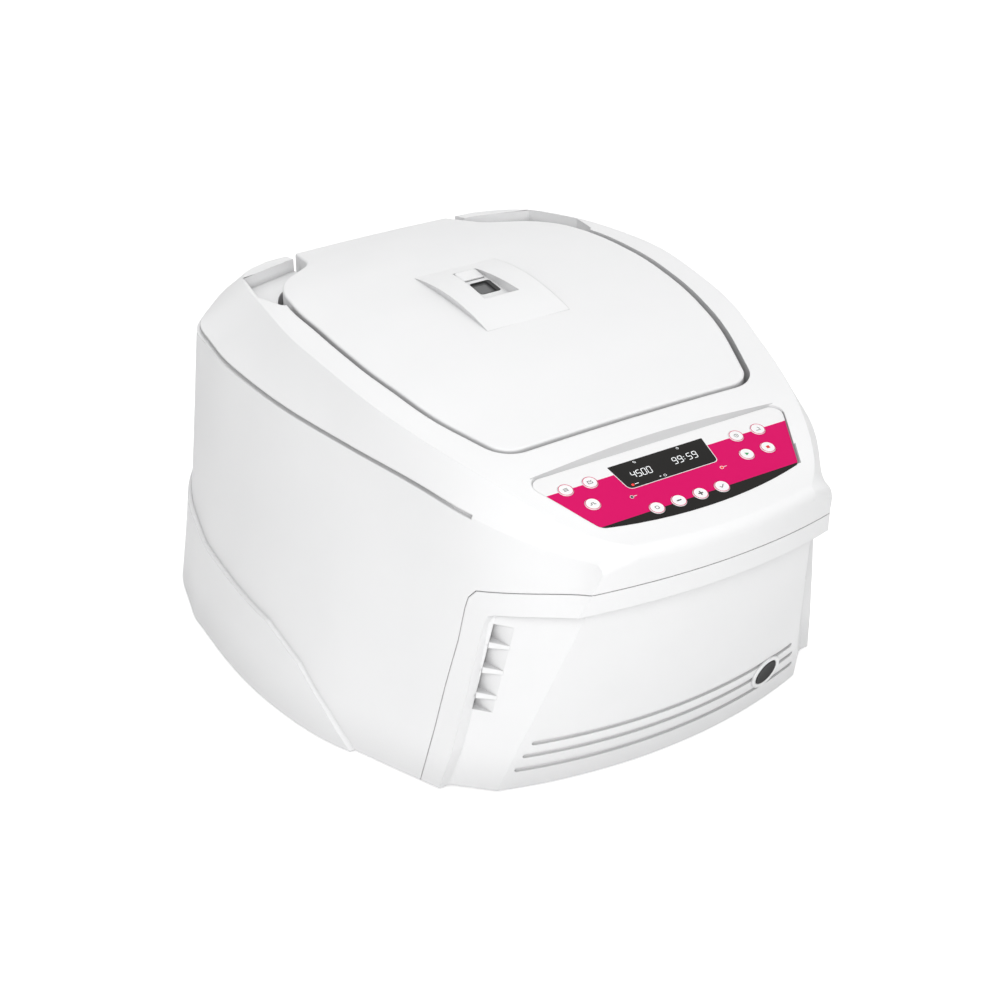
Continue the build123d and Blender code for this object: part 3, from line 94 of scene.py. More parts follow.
def noise(tree, coordinates, size, detail=2.0):
    """Noise whose features are about one size across: scale = 1 / size."""
    scale = reckon(tree, "DIVIDE", 1.0, size)
    return place(tree, "TexNoise", {"Vector": coordinates, "Scale": scale, "Detail": detail}).outputs["Fac"]


# soft edges: the normal of a rounded edge, and a mask that is 1 where the surface turns
soft_edges, given, out = effect("soft_edges", {"Radius": 0.001}, {"Normal": "Vector", "Edge": "Float"})
rounded_normal = place(soft_edges, "Bevel", {"Radius": given["Radius"]}, samples=4).outputs["Normal"]
flat_normal = place(soft_edges, "NewGeometry").outputs["Normal"]
agreement = place(soft_edges, "VectorMath", {0: rounded_normal, 1: flat_normal}, operation="DOT_PRODUCT")
soft_edges.links.new(rounded_normal, out.inputs["Normal"])
soft_edges.links.new(ramp(soft_edges, agreement.outputs["Value"], 1.0, 0.85), out.inputs["Edge"])

# the crease mask, for painted shade: near 1 deep in gaps and grooves, lower under broad
# ledges where shade falls, and 0 in the open
crease_shade, given, out = effect(
    "crease_shade", {"Reach": 0.008, "Broad": 0.05, "Broad Share": 0.4}, {"Crease": "Float"},
)
near_openness = place(crease_shade, "AmbientOcclusion", {"Distance": given["Reach"]}, samples=6).outputs["AO"]
broad_openness = place(crease_shade, "AmbientOcclusion", {"Distance": given["Broad"]}, samples=6).outputs["AO"]
shut = ramp(crease_shade, near_openness, 0.9, 0.5)
under = ramp(crease_shade, broad_openness, 1.0, 0.6, 0.0, given["Broad Share"])
crease_shade.links.new(reckon(crease_shade, "MAXIMUM", shut, under), out.inputs["Crease"])

# moulded skin: fine grain for the bump, and broad patches where gloss and tone drift
moulded_skin, given, out = effect(
    "moulded_skin", {"Grain": 0.0006, "Patch": 0.06}, {"Height": "Float", "Patches": "Float"},
)
at = place(moulded_skin, "TexCoord").outputs["Object"]
moulded_skin.links.new(noise(moulded_skin, at, given["Grain"]), out.inputs["Height"])
moulded_skin.links.new(noise(moulded_skin, at, given["Patch"], 4.0), out.inputs["Patches"])


def finish(name, colour, drifted, rough, edge=None, skin=moulded_skin, depth=0.00002, soft=0.0012, share=0.3,
           sizes=None, metallic=0.0, coat=0.0, specular=0.5):
    """Material whose colour drifts to a second one in patches and to an edge colour where it turns.
    rough is its least and greatest roughness, depth the height of its grain, soft its edge radius."""
    material = bpy.data.materials.new(name)
    material.use_nodes = True
    tree = material.node_tree
    shader = tree.nodes["Principled BSDF"]
    marks = place(tree, "Group", node_tree=skin)
    for label, size in (sizes or {}).items():
        marks.inputs[label].default_value = size
    edges = place(tree, "Group", node_tree=soft_edges)
    edges.inputs["Radius"].default_value = soft
    patches = ramp(tree, marks.outputs["Patches"], 0.3, 0.7)
    toned = blend(tree, patches, colour, drifted)
    worn = reckon(tree, "MULTIPLY", edges.outputs["Edge"], share)
    grain = place(
        tree, "Bump", {"Height": marks.outputs["Height"], "Distance": depth, "Normal": edges.outputs["Normal"]},
    )
    tree.links.new(blend(tree, worn, toned, edge or colour), shader.inputs["Base Color"])
    tree.links.new(ramp(tree, patches, to_low=rough[0], to_high=rough[1]), shader.inputs["Roughness"])
    tree.links.new(grain.outputs["Normal"], shader.inputs["Normal"])
    shader.inputs["Metallic"].default_value = metallic
    shader.inputs["Coat Weight"].default_value = coat
    shader.inputs["Specular IOR Level"].default_value = specular
    return material


def shading(material):
    """Node tree of a finished material, its shader, and the output that gives the shader its colour."""
    shader = material.node_tree.nodes["Principled BSDF"]
    return material.node_tree, shader, shader.inputs["Base Color"].links[0].from_socket


def dress(material, *nodes):
    """Gives CAD nodes their finish."""
    for name in nodes:
        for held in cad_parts[name].material_slots:
            held.material = material


white_moulding = finish(
    "white_moulding", (0.9, 0.901, 0.905), (0.89, 0.892, 0.896), (0.42, 0.5), edge=(0.91, 0.91, 0.91),
)
# painted shade: the white darkens towards this grey where the crease mask is high, in gaps, grooves and under
# ledges
painted_shade_tone = (0.56, 0.56, 0.565)
tree, shader, clean_tone = shading(white_moulding)
painted_crease_shade = place(tree, "Group", node_tree=crease_shade).outputs["Crease"]
tree.links.new(blend(tree, painted_crease_shade, clean_tone, painted_shade_tone), shader.inputs["Base Color"])
dress(white_moulding, "front_cover", "lid_shell")

# ---------------------------------------------------------------- viewing port
# The tachometer port in the lid's boss: a white surround with rounded corners dropped
# into the moulding, a black seal pressed down inside it, and a smoked acrylic pane
# clamped under the seal. The shutter tile behind it slides forward over the pane.
mm = 0.001


def built(name, points, faces, body, slot, material, flat=False):
    """Mesh piece from points and faces: doubles merged, faces outwards, then it rides on its body."""
    mesh = bpy.data.meshes.new(name)
    mesh.from_pydata(np.asarray(points, float).tolist(), [], [tuple(map(int, face)) for face in faces])
    work = bmesh.new()
    work.from_mesh(mesh)
    bmesh.ops.remove_doubles(work, verts=work.verts, dist=1e-7)
    bmesh.ops.recalc_face_normals(work, faces=work.faces)
    work.to_mesh(mesh)
    work.free()
    mesh.polygons.foreach_set("use_smooth", np.full(len(mesh.polygons), not flat))
    piece = bpy.data.objects.new(name, mesh)
    bpy.context.scene.collection.objects.link(piece)
    mesh.materials.append(material)
    if not flat:
        mesh.set_sharp_from_angle(angle=radians(35))
    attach(piece, body)
    return piece


def grid(rows, columns, around=True, start=0):
    """Quads of a surface on a grid of rows by columns; around joins its last column to its first."""
    i, j = np.meshgrid(np.arange(rows - 1), np.arange(columns if around else columns - 1), indexing="ij")
    k = (j + 1) % columns
    here, above = i * columns, (i + 1) * columns
    return (start + np.stack([here + j, here + k, above + k, above + j], -1)).reshape(-1, 4)


def rounded(corners, radii, steps=8):
    """Closed outline through corners, each replaced by an arc of its radius: the arc's centre lies on the
    corner's bisector at radius / sin(half angle), and its angle runs evenly between the tangent points."""
    corners = np.asarray(corners, float)
    radii = np.broadcast_to(np.asarray(radii, float), len(corners))
    to_last = np.roll(corners, 1, 0) - corners
    to_next = np.roll(corners, -1, 0) - corners
    to_last /= np.linalg.norm(to_last, axis=1)[:, None]
    to_next /= np.linalg.norm(to_next, axis=1)[:, None]
    half = np.arccos(np.clip((to_last * to_next).sum(1), -1, 1)) / 2
    bisector = to_last + to_next
    bisector /= np.linalg.norm(bisector, axis=1)[:, None]
    centres = corners + bisector * (radii / np.sin(half))[:, None]
    starts = corners + to_last * (radii / np.tan(half))[:, None] - centres
    ends = corners + to_next * (radii / np.tan(half))[:, None] - centres
    first = np.arctan2(starts[:, 1], starts[:, 0])
    swing = (np.arctan2(ends[:, 1], ends[:, 0]) - first + pi) % (2 * pi) - pi
    turn = first[:, None] + swing[:, None] * np.linspace(0, 1, steps)
    arcs = centres[:, None] + radii[:, None, None] * np.stack([np.cos(turn), np.sin(turn)], -1)
    return arcs.reshape(-1, 2)


def rectangle(width, length, radius):
    """Outline of a rectangle with rounded corners about its middle."""
    a, b = width / 2, length / 2
    return rounded([(-a, -b), (a, -b), (a, b), (-a, b)], radius)


def shrunk(outline, middle=(0, 0), share=0.001):
    """Outline scaled by the share about a middle. With the small share it closes a cap."""
    return (np.asarray(outline, float) - middle) * share + middle


def seated(middle, across, along):
    """Function that carries outlines in millimetres to a plane: middle + x across + y along + height out."""
    middle, across, along = (np.asarray(v, float) for v in (middle, across, along))
    out = np.cross(across, along)

    def carry(outline, height):
        flat = np.asarray(outline, float) * mm
        return middle + flat[:, :1] * across + flat[:, 1:] * along + height * mm * out

    return carry


def banded(name, rows, carry, body, slot, material, closed=True):
    """Surface through rows of outlines with equal counts, each at its height; closed joins the last row
    to the first."""
    loops = [carry(outline, height) for outline, height in rows]
    if closed:
        loops.append(loops[0])
    return built(name, np.concatenate(loops), grid(len(loops), len(loops[0])), body, slot, material)


def film(name, outlines, low, high, carry, body, slot, material):
    """Flat pieces cut to outlines: each is a top, a bottom and one quad for each side, between two heights."""
    points, faces, start = [], [], 0
    for outline in outlines:
        count = len(outline)
        points += [carry(outline, low), carry(outline, high)]
        faces += [tuple(range(start, start + count)), tuple(range(start + count, start + 2 * count))]
        faces += grid(2, count, start=start).tolist()
        start += 2 * count
    return built(name, np.concatenate(points), faces, body, slot, material, flat=True)


port_slope = radians(3.69)
pane_thickness = 2.5
pane_low, pane_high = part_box("viewing_window")
port_out = np.array([0, -sin(port_slope), cos(port_slope)])
port_floor = (np.array(pane_low) + np.array(pane_high)) / 2 + pane_thickness / 2 * mm * port_out
on_port = seated(port_floor, (1, 0, 0), (0, cos(port_slope), sin(port_slope)))

# the opening stands a little to the right of the middle and towards the front
opening_at = (0.6, -2.1)
collar_at = (2.4, -2.1)
surround_foot = -2.3
cut = rectangle(19.0, 26.0, 0.05)
mouth = rectangle(16.6, 20.8, 2.3) + opening_at
mouth_rim = rectangle(16.9, 21.1, 2.5) + opening_at
surround_rows = [
    (cut, surround_foot), (cut, 0), (mouth_rim, 0), (mouth, -0.15), (mouth, surround_foot),
]
banded("port_surround", surround_rows, on_port, "lid", "housing_white", white_moulding)

seal_rubber = finish("seal_rubber", (0.018, 0.018, 0.019), (0.03, 0.03, 0.03), (0.55, 0.75), soft=0.0003)
seal_foot = -2.2
seal_collar = rectangle(20.0, 21.6, 2.8) + collar_at
seal_root = rectangle(16.5, 20.7, 2.3) + opening_at
seal_mouth = rectangle(15.9, 20.1, 2.0) + opening_at
seal_inner = rectangle(14.8, 19.0, 1.6) + opening_at
seal_rows = [
    (seal_root, seal_foot), (seal_root, 0.0), (seal_collar, 0.0), (seal_collar, 0.03),
    (seal_mouth, 0.04), (seal_mouth, -1.6), (seal_inner, -1.7), (seal_inner, seal_foot),
]
banded("port_seal", seal_rows, on_port, "lid", "rubber_black", seal_rubber)

smoked_acrylic = finish(
    "smoked_acrylic", (0.12, 0.122, 0.125), (0.135, 0.137, 0.14), (0.12, 0.2), depth=0.000002, soft=0.0004,
)
shading(smoked_acrylic)[1].inputs["Transmission Weight"].default_value = 0.2
pane_face, pane_back = -1.85, -2.4
pane_edge = rectangle(16.2, 20.4, 1.8) + opening_at
pane_middle = shrunk(pane_edge, opening_at)
pane_rows = [(pane_middle, pane_face), (pane_edge, pane_face), (pane_edge, pane_back), (pane_middle, pane_back)]
pane = banded("port_pane", pane_rows, on_port, "lid", "smoked_pane", smoked_acrylic)
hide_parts("viewing_window")

# the tile's rear corners are round, and a thin dark band under it, just wider than the tile, is painted shadow
# for the gap round it
tile_bottom, tile_shoulder, tile_face = 0.08, 1.35, 1.6
tile_corners = [(-10.5, 13.5), (10.5, 13.5), (10.5, 29.1), (-10.5, 29.1)]
tile_middle = (0, 21.3)
tile_edge = rounded(tile_corners, (0.4, 0.4, 2.5, 2.5))
tile_top = rounded(shrunk(tile_corners, tile_middle, 0.96), (0.3, 0.3, 2.2, 2.2))
tile_rows = [
    (shrunk(tile_edge, tile_middle), tile_bottom), (tile_edge, tile_bottom), (tile_edge, tile_shoulder),
    (tile_top, tile_face), (shrunk(tile_top, tile_middle), tile_face),
]
tile = banded("shutter_tile", tile_rows, on_port, "shutter", "housing_white", white_moulding)
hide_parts("window_shutter")
# painted shadow: this dark band stands in for the shade in the gap under the tile's edge
shadow_band = rounded(shrunk(tile_corners, tile_middle, 1.03), (0.6, 0.6, 2.8, 2.8))
film("shutter_shadow_band", [shadow_band], 0.05, 0.3, on_port, "shutter", "housing_white", seal_rubber)

# ---------------------------------------------------------------- panel label
# Printed polyester film stuck into a shallow recess of the sloping panel: white at the
# top, magenta below a straight line, and near-black below a second one down to the
# curved lower edge. The keys and the display come up through holes in it.
panel_slope = radians(14.2)
label_thickness = 0.1
label_margin = 0.8
label_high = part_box("panel_label")[1]
panel_origin = np.array([
    0, label_high.y - (label_margin * sin(panel_slope) + label_thickness * cos(panel_slope)) * mm,
    label_high.z - label_thickness * sin(panel_slope) * mm,
])
panel_up = (0, cos(panel_slope), sin(panel_slope))
on_panel = seated(panel_origin, (1, 0, 0), panel_up)


def panel_axes(tree):
    """Outputs for the place on the panel: X across, Y up the slope from the label's top line, Z out of it."""
    held_at = place(tree, "TexCoord").outputs["Object"]
    turned_back = place(
        tree, "Mapping", {"Vector": held_at, "Location": tuple(panel_origin), "Rotation": (panel_slope, 0, 0)},
        vector_type="TEXTURE",
    )
    return place(tree, "SeparateXYZ", {0: turned_back.outputs[0]}).outputs


magenta = (0.69, 0.0025, 0.13)
near_black = (0.013, 0.012, 0.011)
magenta_from, black_from = -18.3, -62.4
ink_gloss = 0.08
label_film = finish(
    "label_film", (0.9, 0.9, 0.902), (0.89, 0.89, 0.892), (0.4, 0.48), depth=0.000004, soft=0.0003,
    sizes={"Grain": 0.0004}, specular=ink_gloss,
)
tree, shader, printed = shading(label_film)
up_film = panel_axes(tree)["Y"]
for line, ink in ((magenta_from, magenta), (black_from, near_black)):
    printed = blend(tree, reckon(tree, "LESS_THAN", up_film, line * mm), printed, ink)
tree.links.new(printed, shader.inputs["Base Color"])
dress(label_film, "panel_label")

# The recess's upper wall and the gap at its right end are painted light grey and darker grey: painted shade for
# the shade that falls on them. The wall's foot lies at u = foot, and it leans back to u = foot + lean * (1 - (x
# / half)^2) at its rim.
wall_shade_tone, gap_shade_tone = (0.6, 0.6, 0.605), (0.3, 0.3, 0.305)
wall_half, wall_end, wall_foot, wall_lean = 121.5 * mm, 113.5 * mm, 1.0 * mm, 6.9 * mm
wall_low, wall_rise = -0.8 * mm, 4.8 * mm
housing_moulding = white_moulding.copy()
housing_moulding.name = "housing_moulding"
tree, shader, white_tone = shading(housing_moulding)
x, u, v = panel_axes(tree)
along = reckon(tree, "DIVIDE", x, wall_half)
bow = reckon(tree, "SUBTRACT", 1.0, reckon(tree, "MULTIPLY", along, along))
leant = reckon(tree, "MULTIPLY", bow, ramp(tree, v, wall_low, wall_low + wall_rise))
wall_at = reckon(tree, "MULTIPLY_ADD", leant, wall_lean, wall_foot)
beside = reckon(tree, "ABSOLUTE", reckon(tree, "SUBTRACT", u, wall_at))
on_wall = ramp(tree, beside, 0.4 * mm, 0.7 * mm, 1.0, 0.0)
for inside in (
    reckon(tree, "GREATER_THAN", v, wall_low + 0.1 * mm), reckon(tree, "COMPARE", x, 0.0, wall_end),
):
    on_wall = reckon(tree, "MULTIPLY", on_wall, inside)

# the gap follows the label's slanted right edge, whose line has this direction out of it
edge_x, edge_u, edge_start = 0.9055, -0.4244, 120.5 * mm
past = reckon(tree, "MULTIPLY", reckon(tree, "ADD", x, -edge_start), edge_x)
past = reckon(tree, "MULTIPLY_ADD", u, edge_u, past)
in_gap = 1.0
for value, middle, reach in ((past, 1.0 * mm, 1.3 * mm), (v, -0.3 * mm, 1.0 * mm), (u, -30 * mm, 34 * mm)):
    in_gap = reckon(tree, "MULTIPLY", in_gap, reckon(tree, "COMPARE", value, middle, reach))
# painted shade: the recess wall and the gap take these greys in place of the shade on them
wall_shaded = blend(tree, on_wall, white_tone, wall_shade_tone)
tree.links.new(blend(tree, in_gap, wall_shaded, gap_shade_tone), shader.inputs["Base Color"])
dress(housing_moulding, "main_housing")

# ---------------------------------------------------------------- display
# Near-black window bonded over the display module, with a thin white line printed
# round it. Behind it stand slanted seven-segment digits, lit white, with a small lit
# sign over each number, a ring sign below and a red lamp at the lower left corner.
print_white = finish("print_white", (0.9, 0.9, 0.902), (0.88, 0.88, 0.885), (0.3, 0.38), soft=0.0001)
print_magenta = finish(
    "print_magenta", magenta, (0.67, 0.004, 0.125), (0.4, 0.48), soft=0.0001, specular=ink_gloss,
)
display_gloss = finish(
    "display_gloss", (0.014, 0.0135, 0.013), (0.017, 0.016, 0.015), (0.14, 0.2), depth=0.000002, soft=0.0002,
    specular=0.1,
)
bed_corners = [(-51.2, -37.4), (35.4, -37.4), (36.3, -18.35), (-51.6, -18.35)]
line_corners = [(-48.9, -37.0), (33.6, -37.0), (36.9, -9.5), (-52.2, -9.5)]
window_corners = [(-48.4, -36.4), (33.0, -36.4), (36.2, -9.8), (-51.5, -9.8)]
bed_top, line_top, window_top = 0.05, 0.07, 0.22
film("display_bed", [bed_corners], 0.0, bed_top, on_panel, "machine", "label_print", print_magenta)
line_outline = rounded(line_corners, (5.5, 4.0, 0.3, 0.3))
film("display_line", [line_outline], 0.0, line_top, on_panel, "machine", "label_print", print_white)
window_outline = rounded(window_corners, (5.0, 3.6, 0.2, 0.2))
film(
    "display_window", [window_outline], line_top, window_top, on_panel, "machine", "display_black",
    display_gloss,
)
dress(display_gloss, "display_module")


def lit(name, colour, strength):
    """Material of a lamp or a lit segment, whose glow drifts a little over its face."""
    material = finish(name, colour, colour, (0.25, 0.35), depth=0.000001, soft=0.0001)
    tree, shader, glow_colour = shading(material)
    tree.links.new(glow_colour, shader.inputs["Emission Color"])
    shader.inputs["Emission Strength"].default_value = strength
    return material


segment_white = lit("segment_white", (0.8, 0.82, 0.83), 0.55)
digit_width, digit_height, digit_stroke, digit_slant = 3.3, 6.6, 0.58, 0.14
segment_ends = {
    "a": ((0, 2), (1, 2)), "b": ((1, 2), (1, 1)), "c": ((1, 1), (1, 0)), "d": ((1, 0), (0, 0)),
    "e": ((0, 0), (0, 1)), "f": ((0, 1), (0, 2)), "g": ((0, 1), (1, 1)),
}
digit_segments = {"0": "abcdef", "4": "fgbc", "5": "afgcd", "9": "abcdfg"}
colon_pitch, colon_dot, colon_levels = 0.6, 0.35, (0.3, 0.68)


def segment(first, last, width):
    """Bar between two points with pointed ends, drawn in by a fifth of its width at each end."""
    first, last = np.asarray(first, float), np.asarray(last, float)
    along = (last - first) / np.linalg.norm(last - first)
    across = np.array([-along[1], along[0]]) * width / 2
    a, b = first + along * width * 0.2, last - along * width * 0.2
    inset = along * width / 2
    return np.array([a, a + inset - across, b - inset - across, b, b - inset + across, a + inset + across])


def number(text, left, bottom, pitch):
    """Outlines of seven-segment digits in a row, slanted as x + slant times y."""
    shapes, x = [], left
    for sign in text:
        if sign == ":":
            corners = np.array([(-1, -1), (1, -1), (1, 1), (-1, 1)]) * colon_dot
            shapes += [corners + (x, level * digit_height) for level in colon_levels]
            x += pitch * colon_pitch
            continue
        for name in digit_segments[sign]:
            ends = [(x + i * digit_width, j * digit_height / 2) for i, j in segment_ends[name]]
            shapes.append(segment(*ends, digit_stroke))
        x += pitch
    return [shape @ np.array([[1, 0], [digit_slant, 1]]) + (0, bottom) for shape in shapes]


digits = number("4500", -39.1, -27.4, 4.85) + number("99:59", -0.3, -26.7, 5.15)
lit_top = window_top + 0.03
film("display_digits", digits, window_top, lit_top, on_panel, "machine", "display_black", segment_white)


def bar(first, last, width, steps=6):
    """Bar with round ends: half circles of half the width about its two ends."""
    first, last = np.asarray(first, float), np.asarray(last, float)
    heading = np.arctan2(*(last - first)[::-1])
    turn = np.linspace(-pi / 2, pi / 2, steps)
    ahead = last + width / 2 * np.stack([np.cos(heading + turn), np.sin(heading + turn)], -1)
    behind = first - width / 2 * np.stack([np.cos(heading + turn), np.sin(heading + turn)], -1)
    return np.concatenate([ahead, behind])


def arc(middle, radius, width, start, end, steps=20):
    """Band of a circle between two angles in degrees: its outer arc, then its inner arc back."""
    turn = np.radians(np.linspace(start, end, steps))
    round_it = np.stack([np.cos(turn), np.sin(turn)], -1)
    outer, inner = (radius + width / 2) * round_it, (radius - width / 2) * round_it[::-1]
    return np.asarray(middle) + np.concatenate([outer, inner])


def moved(shapes, x, y, size=1.0):
    """Outlines scaled about zero and moved."""
    return [np.asarray(shape, float) * size + (x, y) for shape in shapes]


turning_sign = [
    arc((0, 0), 1.5, 0.42, -40, 130), arc((0, 0), 1.5, 0.42, 140, 310),
    [(1.9, -1.5), (1.2, -0.3), (0.5, -1.3)], [(-1.9, 1.5), (-1.2, 0.3), (-0.5, 1.3)],
]
clock_sign = [
    arc((0, 0), 1.65, 0.4, 0, 178), arc((0, 0), 1.65, 0.4, 180, 358),
    bar((0, 0), (0, 1.05), 0.38), bar((0, 0), (0.75, -0.35), 0.38),
]
ring_sign = [arc((0, 0), 1.1, 0.28, 0, 178), arc((0, 0), 1.1, 0.28, 180, 358)]
display_signs = moved(turning_sign, -28.6, -12.4, 0.62) + moved(clock_sign, 11.7, -12.2, 0.6)
display_signs += moved(ring_sign, -14.5, -34.0) + [bar((-18.9, -33.6), (-18.3, -33.6), 0.7)]
display_signs += [bar((-41.6, -33.1), (-38.4, -33.1), 0.5)]
film("display_signs", display_signs, window_top, lit_top, on_panel, "machine", "display_black", segment_white)

# ---------------------------------------------------------------- lamps
# Three small domed lenses in the label: two red and lit, one dark and unlit. The two
# on the magenta field sit in a thin printed white ring with a short white mark beside.


def turned(profile, middle, out, steps=48, closed=False):
    """Surface of revolution: middle + r (cos t a + sin t b) + h out, where r and h follow the profile in
    millimetres and a, b are square to out. closed joins the profile's last point to its first."""
    profile = np.asarray(profile, float) * mm
    if closed:
        profile = np.concatenate([profile, profile[:1]])
    out = np.asarray(out, float) / np.linalg.norm(out)
    a = np.cross(out, (1.0, 0, 0) if abs(out[0]) < 0.9 else (0, 1.0, 0))
    a /= np.linalg.norm(a)
    b = np.cross(out, a)
    t = np.linspace(0, 2 * pi, steps, endpoint=False)
    spokes = np.cos(t)[:, None] * a + np.sin(t)[:, None] * b
    points = np.asarray(middle) + profile[:, None, :1] * spokes + profile[:, None, 1:] * out
    return points.reshape(-1, 3), grid(len(profile), steps)


def several(turnings):
    """Points and faces of several surfaces as one."""
    points, faces, start = [], [], 0
    for shape, quads in turnings:
        points.append(shape)
        faces.append(quads + start)
        start += len(shape)
    return np.concatenate(points), np.concatenate(faces)


panel_out = np.cross((1, 0, 0), panel_up)
quarter = np.linspace(0, pi / 2, 6)
print_top = 0.05
lens_radius, lens_rise, lens_foot = 1.2, 0.35, -0.02
dome = np.stack([lens_radius * np.cos(quarter), lens_rise * np.sin(quarter)], -1)
lens = [(0.0, lens_foot), (lens_radius, lens_foot), *dome]
lamp_ring = [(1.25, 0.0), (1.6, 0.0), (1.6, print_top), (1.25, print_top)]
lamps = {
    "lamp_speed": (-43.6, -33.3, window_top), "lamp_lid": (-51.6, -44.1, 0.0), "lamp_run": (31.6, -43.9, 0.0),
}
lamp_red = lit("lamp_red", (0.85, 0.015, 0.01), 0.5)
lamp_dark = finish("lamp_dark", (0.02, 0.02, 0.022), (0.03, 0.03, 0.03), (0.15, 0.25), soft=0.0001)
for name, (x, u, lift) in lamps.items():
    shape = turned(lens, on_panel([(x, u)], lift)[0], panel_out, 24)
    built(name, *shape, "machine", "display_black", lamp_dark if name == "lamp_lid" else lamp_red)
rings = [
    turned(lamp_ring, on_panel([(x, u)], 0)[0], panel_out, 32, True)
    for x, u, lift in lamps.values() if not lift
]
built("lamp_rings", *several(rings), "machine", "label_print", print_white)
lamp_marks = [bar((-49.6, -43.9), (-47.2, -43.9), 0.5), bar((33.6, -43.7), (36.2, -43.7), 0.5)]
film("lamp_marks", lamp_marks, 0.0, print_top, on_panel, "machine", "label_print", print_white)

# ---------------------------------------------------------------- keys
# Eleven round keys in white ABS that stand just proud of the film. Each carries a thin
# magenta ring and a small sign, screen-printed on its flat top; start is green, stop red.
key_plastic = finish(
    "key_plastic", (0.92, 0.92, 0.922), (0.91, 0.91, 0.912), (0.28, 0.36), depth=0.000005, soft=0.0004,
)
print_dark = finish("print_dark", near_black, (0.02, 0.019, 0.018), (0.3, 0.4), soft=0.0001)
print_green = finish("print_green", (0.01, 0.33, 0.08), (0.012, 0.3, 0.075), (0.3, 0.4), soft=0.0001)
print_red = finish("print_red", (0.75, 0.02, 0.015), (0.7, 0.025, 0.02), (0.3, 0.4), soft=0.0001)


def strokes(points, width):
    """Bars from each point to the next."""
    return [bar(first, last, width) for first, last in zip(points, points[1:])]


key_top, key_print = 0.4, 0.04
thin, bold = 0.5, 1.15
list_sign = [bar((-1.7, y), (1.7, y), thin) for y in (-1.2, 0, 1.2)]
step_sign = strokes([(-2.3, -0.9), (-1.0, -0.9), (-1.0, 0.9), (0.9, 0.9), (0.9, -0.9), (2.3, -0.9)], thin)
note_sign = strokes([(0.2, 1.4), (-1.9, 1.4), (-1.9, -1.4), (1.7, -1.4), (1.7, 0.1)], thin)
note_sign += [bar((-0.2, 0), (1.8, 1.6), thin)]
lid_sign = [bar((-2.0, -1.3), (2.0, -1.3), thin), arc((-2.0, -0.7), 3.6, thin, 2, 48)]
start_sign = [[(-1.3, -1.7), (1.9, 0), (-1.3, 1.7)]]
stop_sign = [[(-1.4, -1.4), (1.4, -1.4), (1.4, 1.4), (-1.4, 1.4)]]
minus_sign = [bar((-1.6, 0), (1.6, 0), bold)]
plus_sign = minus_sign + [bar((0, -1.7), (0, 1.7), bold)]
enter_sign = strokes([(-1.9, 0.1), (-0.6, -1.3), (1.9, 1.4)], 0.6)
keys = [
    (-94.0, -18.3, list_sign, print_dark), (-72.4, -18.3, note_sign, print_dark),
    (-83.2, -38.9, step_sign, print_dark), (63.7, -18.3, clock_sign, print_dark),
    (84.7, -18.3, lid_sign, print_dark), (59.2, -38.9, start_sign, print_green),
    (79.5, -38.9, stop_sign, print_red), (-40.5, -61.4, turning_sign, print_dark),
    (-20.6, -61.4, minus_sign, print_dark), (-0.7, -61.4, plus_sign, print_dark),
    (19.2, -61.4, enter_sign, print_dark),
]
key_ring = [(5.35, 0.0), (5.85, 0.0), (5.85, key_print), (5.35, key_print)]
for index, (x, u, sign, ink) in enumerate(keys, 1):
    key = f"key_{index:02d}"
    dress(key_plastic, key)
    ring = turned(key_ring, on_panel([(x, u)], key_top)[0], panel_out, 64, True)
    built(f"{key}_ring", *ring, key, "label_print", print_magenta, flat=True)
    film(f"{key}_sign", moved(sign, x, u), key_top, key_top + key_print, on_panel, key, "label_print", ink)

# ---------------------------------------------------------------- power button
# Black ABS cap, slightly dished for the finger, sprung in a white ring that is clipped
# into the front cover over the ends of the grooves. The ring's lip is rounded outside
# and chamfered towards the cap.
power_turn, power_tilt = radians(12.0), radians(-13.5)
power_out = np.array([sin(power_turn) * cos(power_tilt), -cos(power_turn) * cos(power_tilt), sin(power_tilt)])
cap_low, cap_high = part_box("power_button")
cap_depth, cap_proud = 12.0, 1.2
power_middle = (np.array(cap_low) + np.array(cap_high)) / 2 + (cap_depth / 2 - cap_proud) * mm * power_out
black_moulding = finish(
    "black_moulding", (0.012, 0.012, 0.0125), (0.016, 0.016, 0.0165), (0.42, 0.52), edge=(0.03, 0.03, 0.03),
    soft=0.0006, specular=0.08,
)
cap_radius, dish_radius, dish_depth = 12.25, 10.6, 0.45
cap_dish = np.linspace(0, dish_radius, 10)
cap_profile = np.concatenate([
    np.stack([cap_dish, cap_proud - dish_depth * (1 - (cap_dish / dish_radius) ** 2)], -1),
    np.stack([cap_radius - 1 + np.sin(quarter), cap_proud - 1 + np.cos(quarter)], -1),
    [(cap_radius, cap_proud - cap_depth), (0.0, cap_proud - cap_depth)],
])
shape = turned(cap_profile, power_middle, power_out, 96)
cap = built("power_cap", *shape, "power_cap", "button_black", black_moulding)
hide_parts("power_button")
ring_bore, sleeve_radius, sleeve_foot = 12.35, 14.3, -20.0
ring_profile = np.concatenate([
    np.stack([15.3 + np.cos(quarter), 0.4 + np.sin(quarter)], -1),
    [(13.3, 1.4), (13.0, 1.3), (ring_bore, 0.5), (ring_bore, sleeve_foot), (sleeve_radius, sleeve_foot),
     (sleeve_radius, -1.2), (16.3, -0.9)],
])
shape = turned(ring_profile, power_middle, power_out, 96, True)
ring = built("power_ring", *shape, "machine", "housing_white", white_moulding)
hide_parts("power_button_ring")

# ---------------------------------------------------------------- rear and base
# Rear panel and base plate: zinc-plated sheet steel, punched and drawn flat, held by
# pan-head screws. The mains inlet is a black moulding with nickel-plated blades.

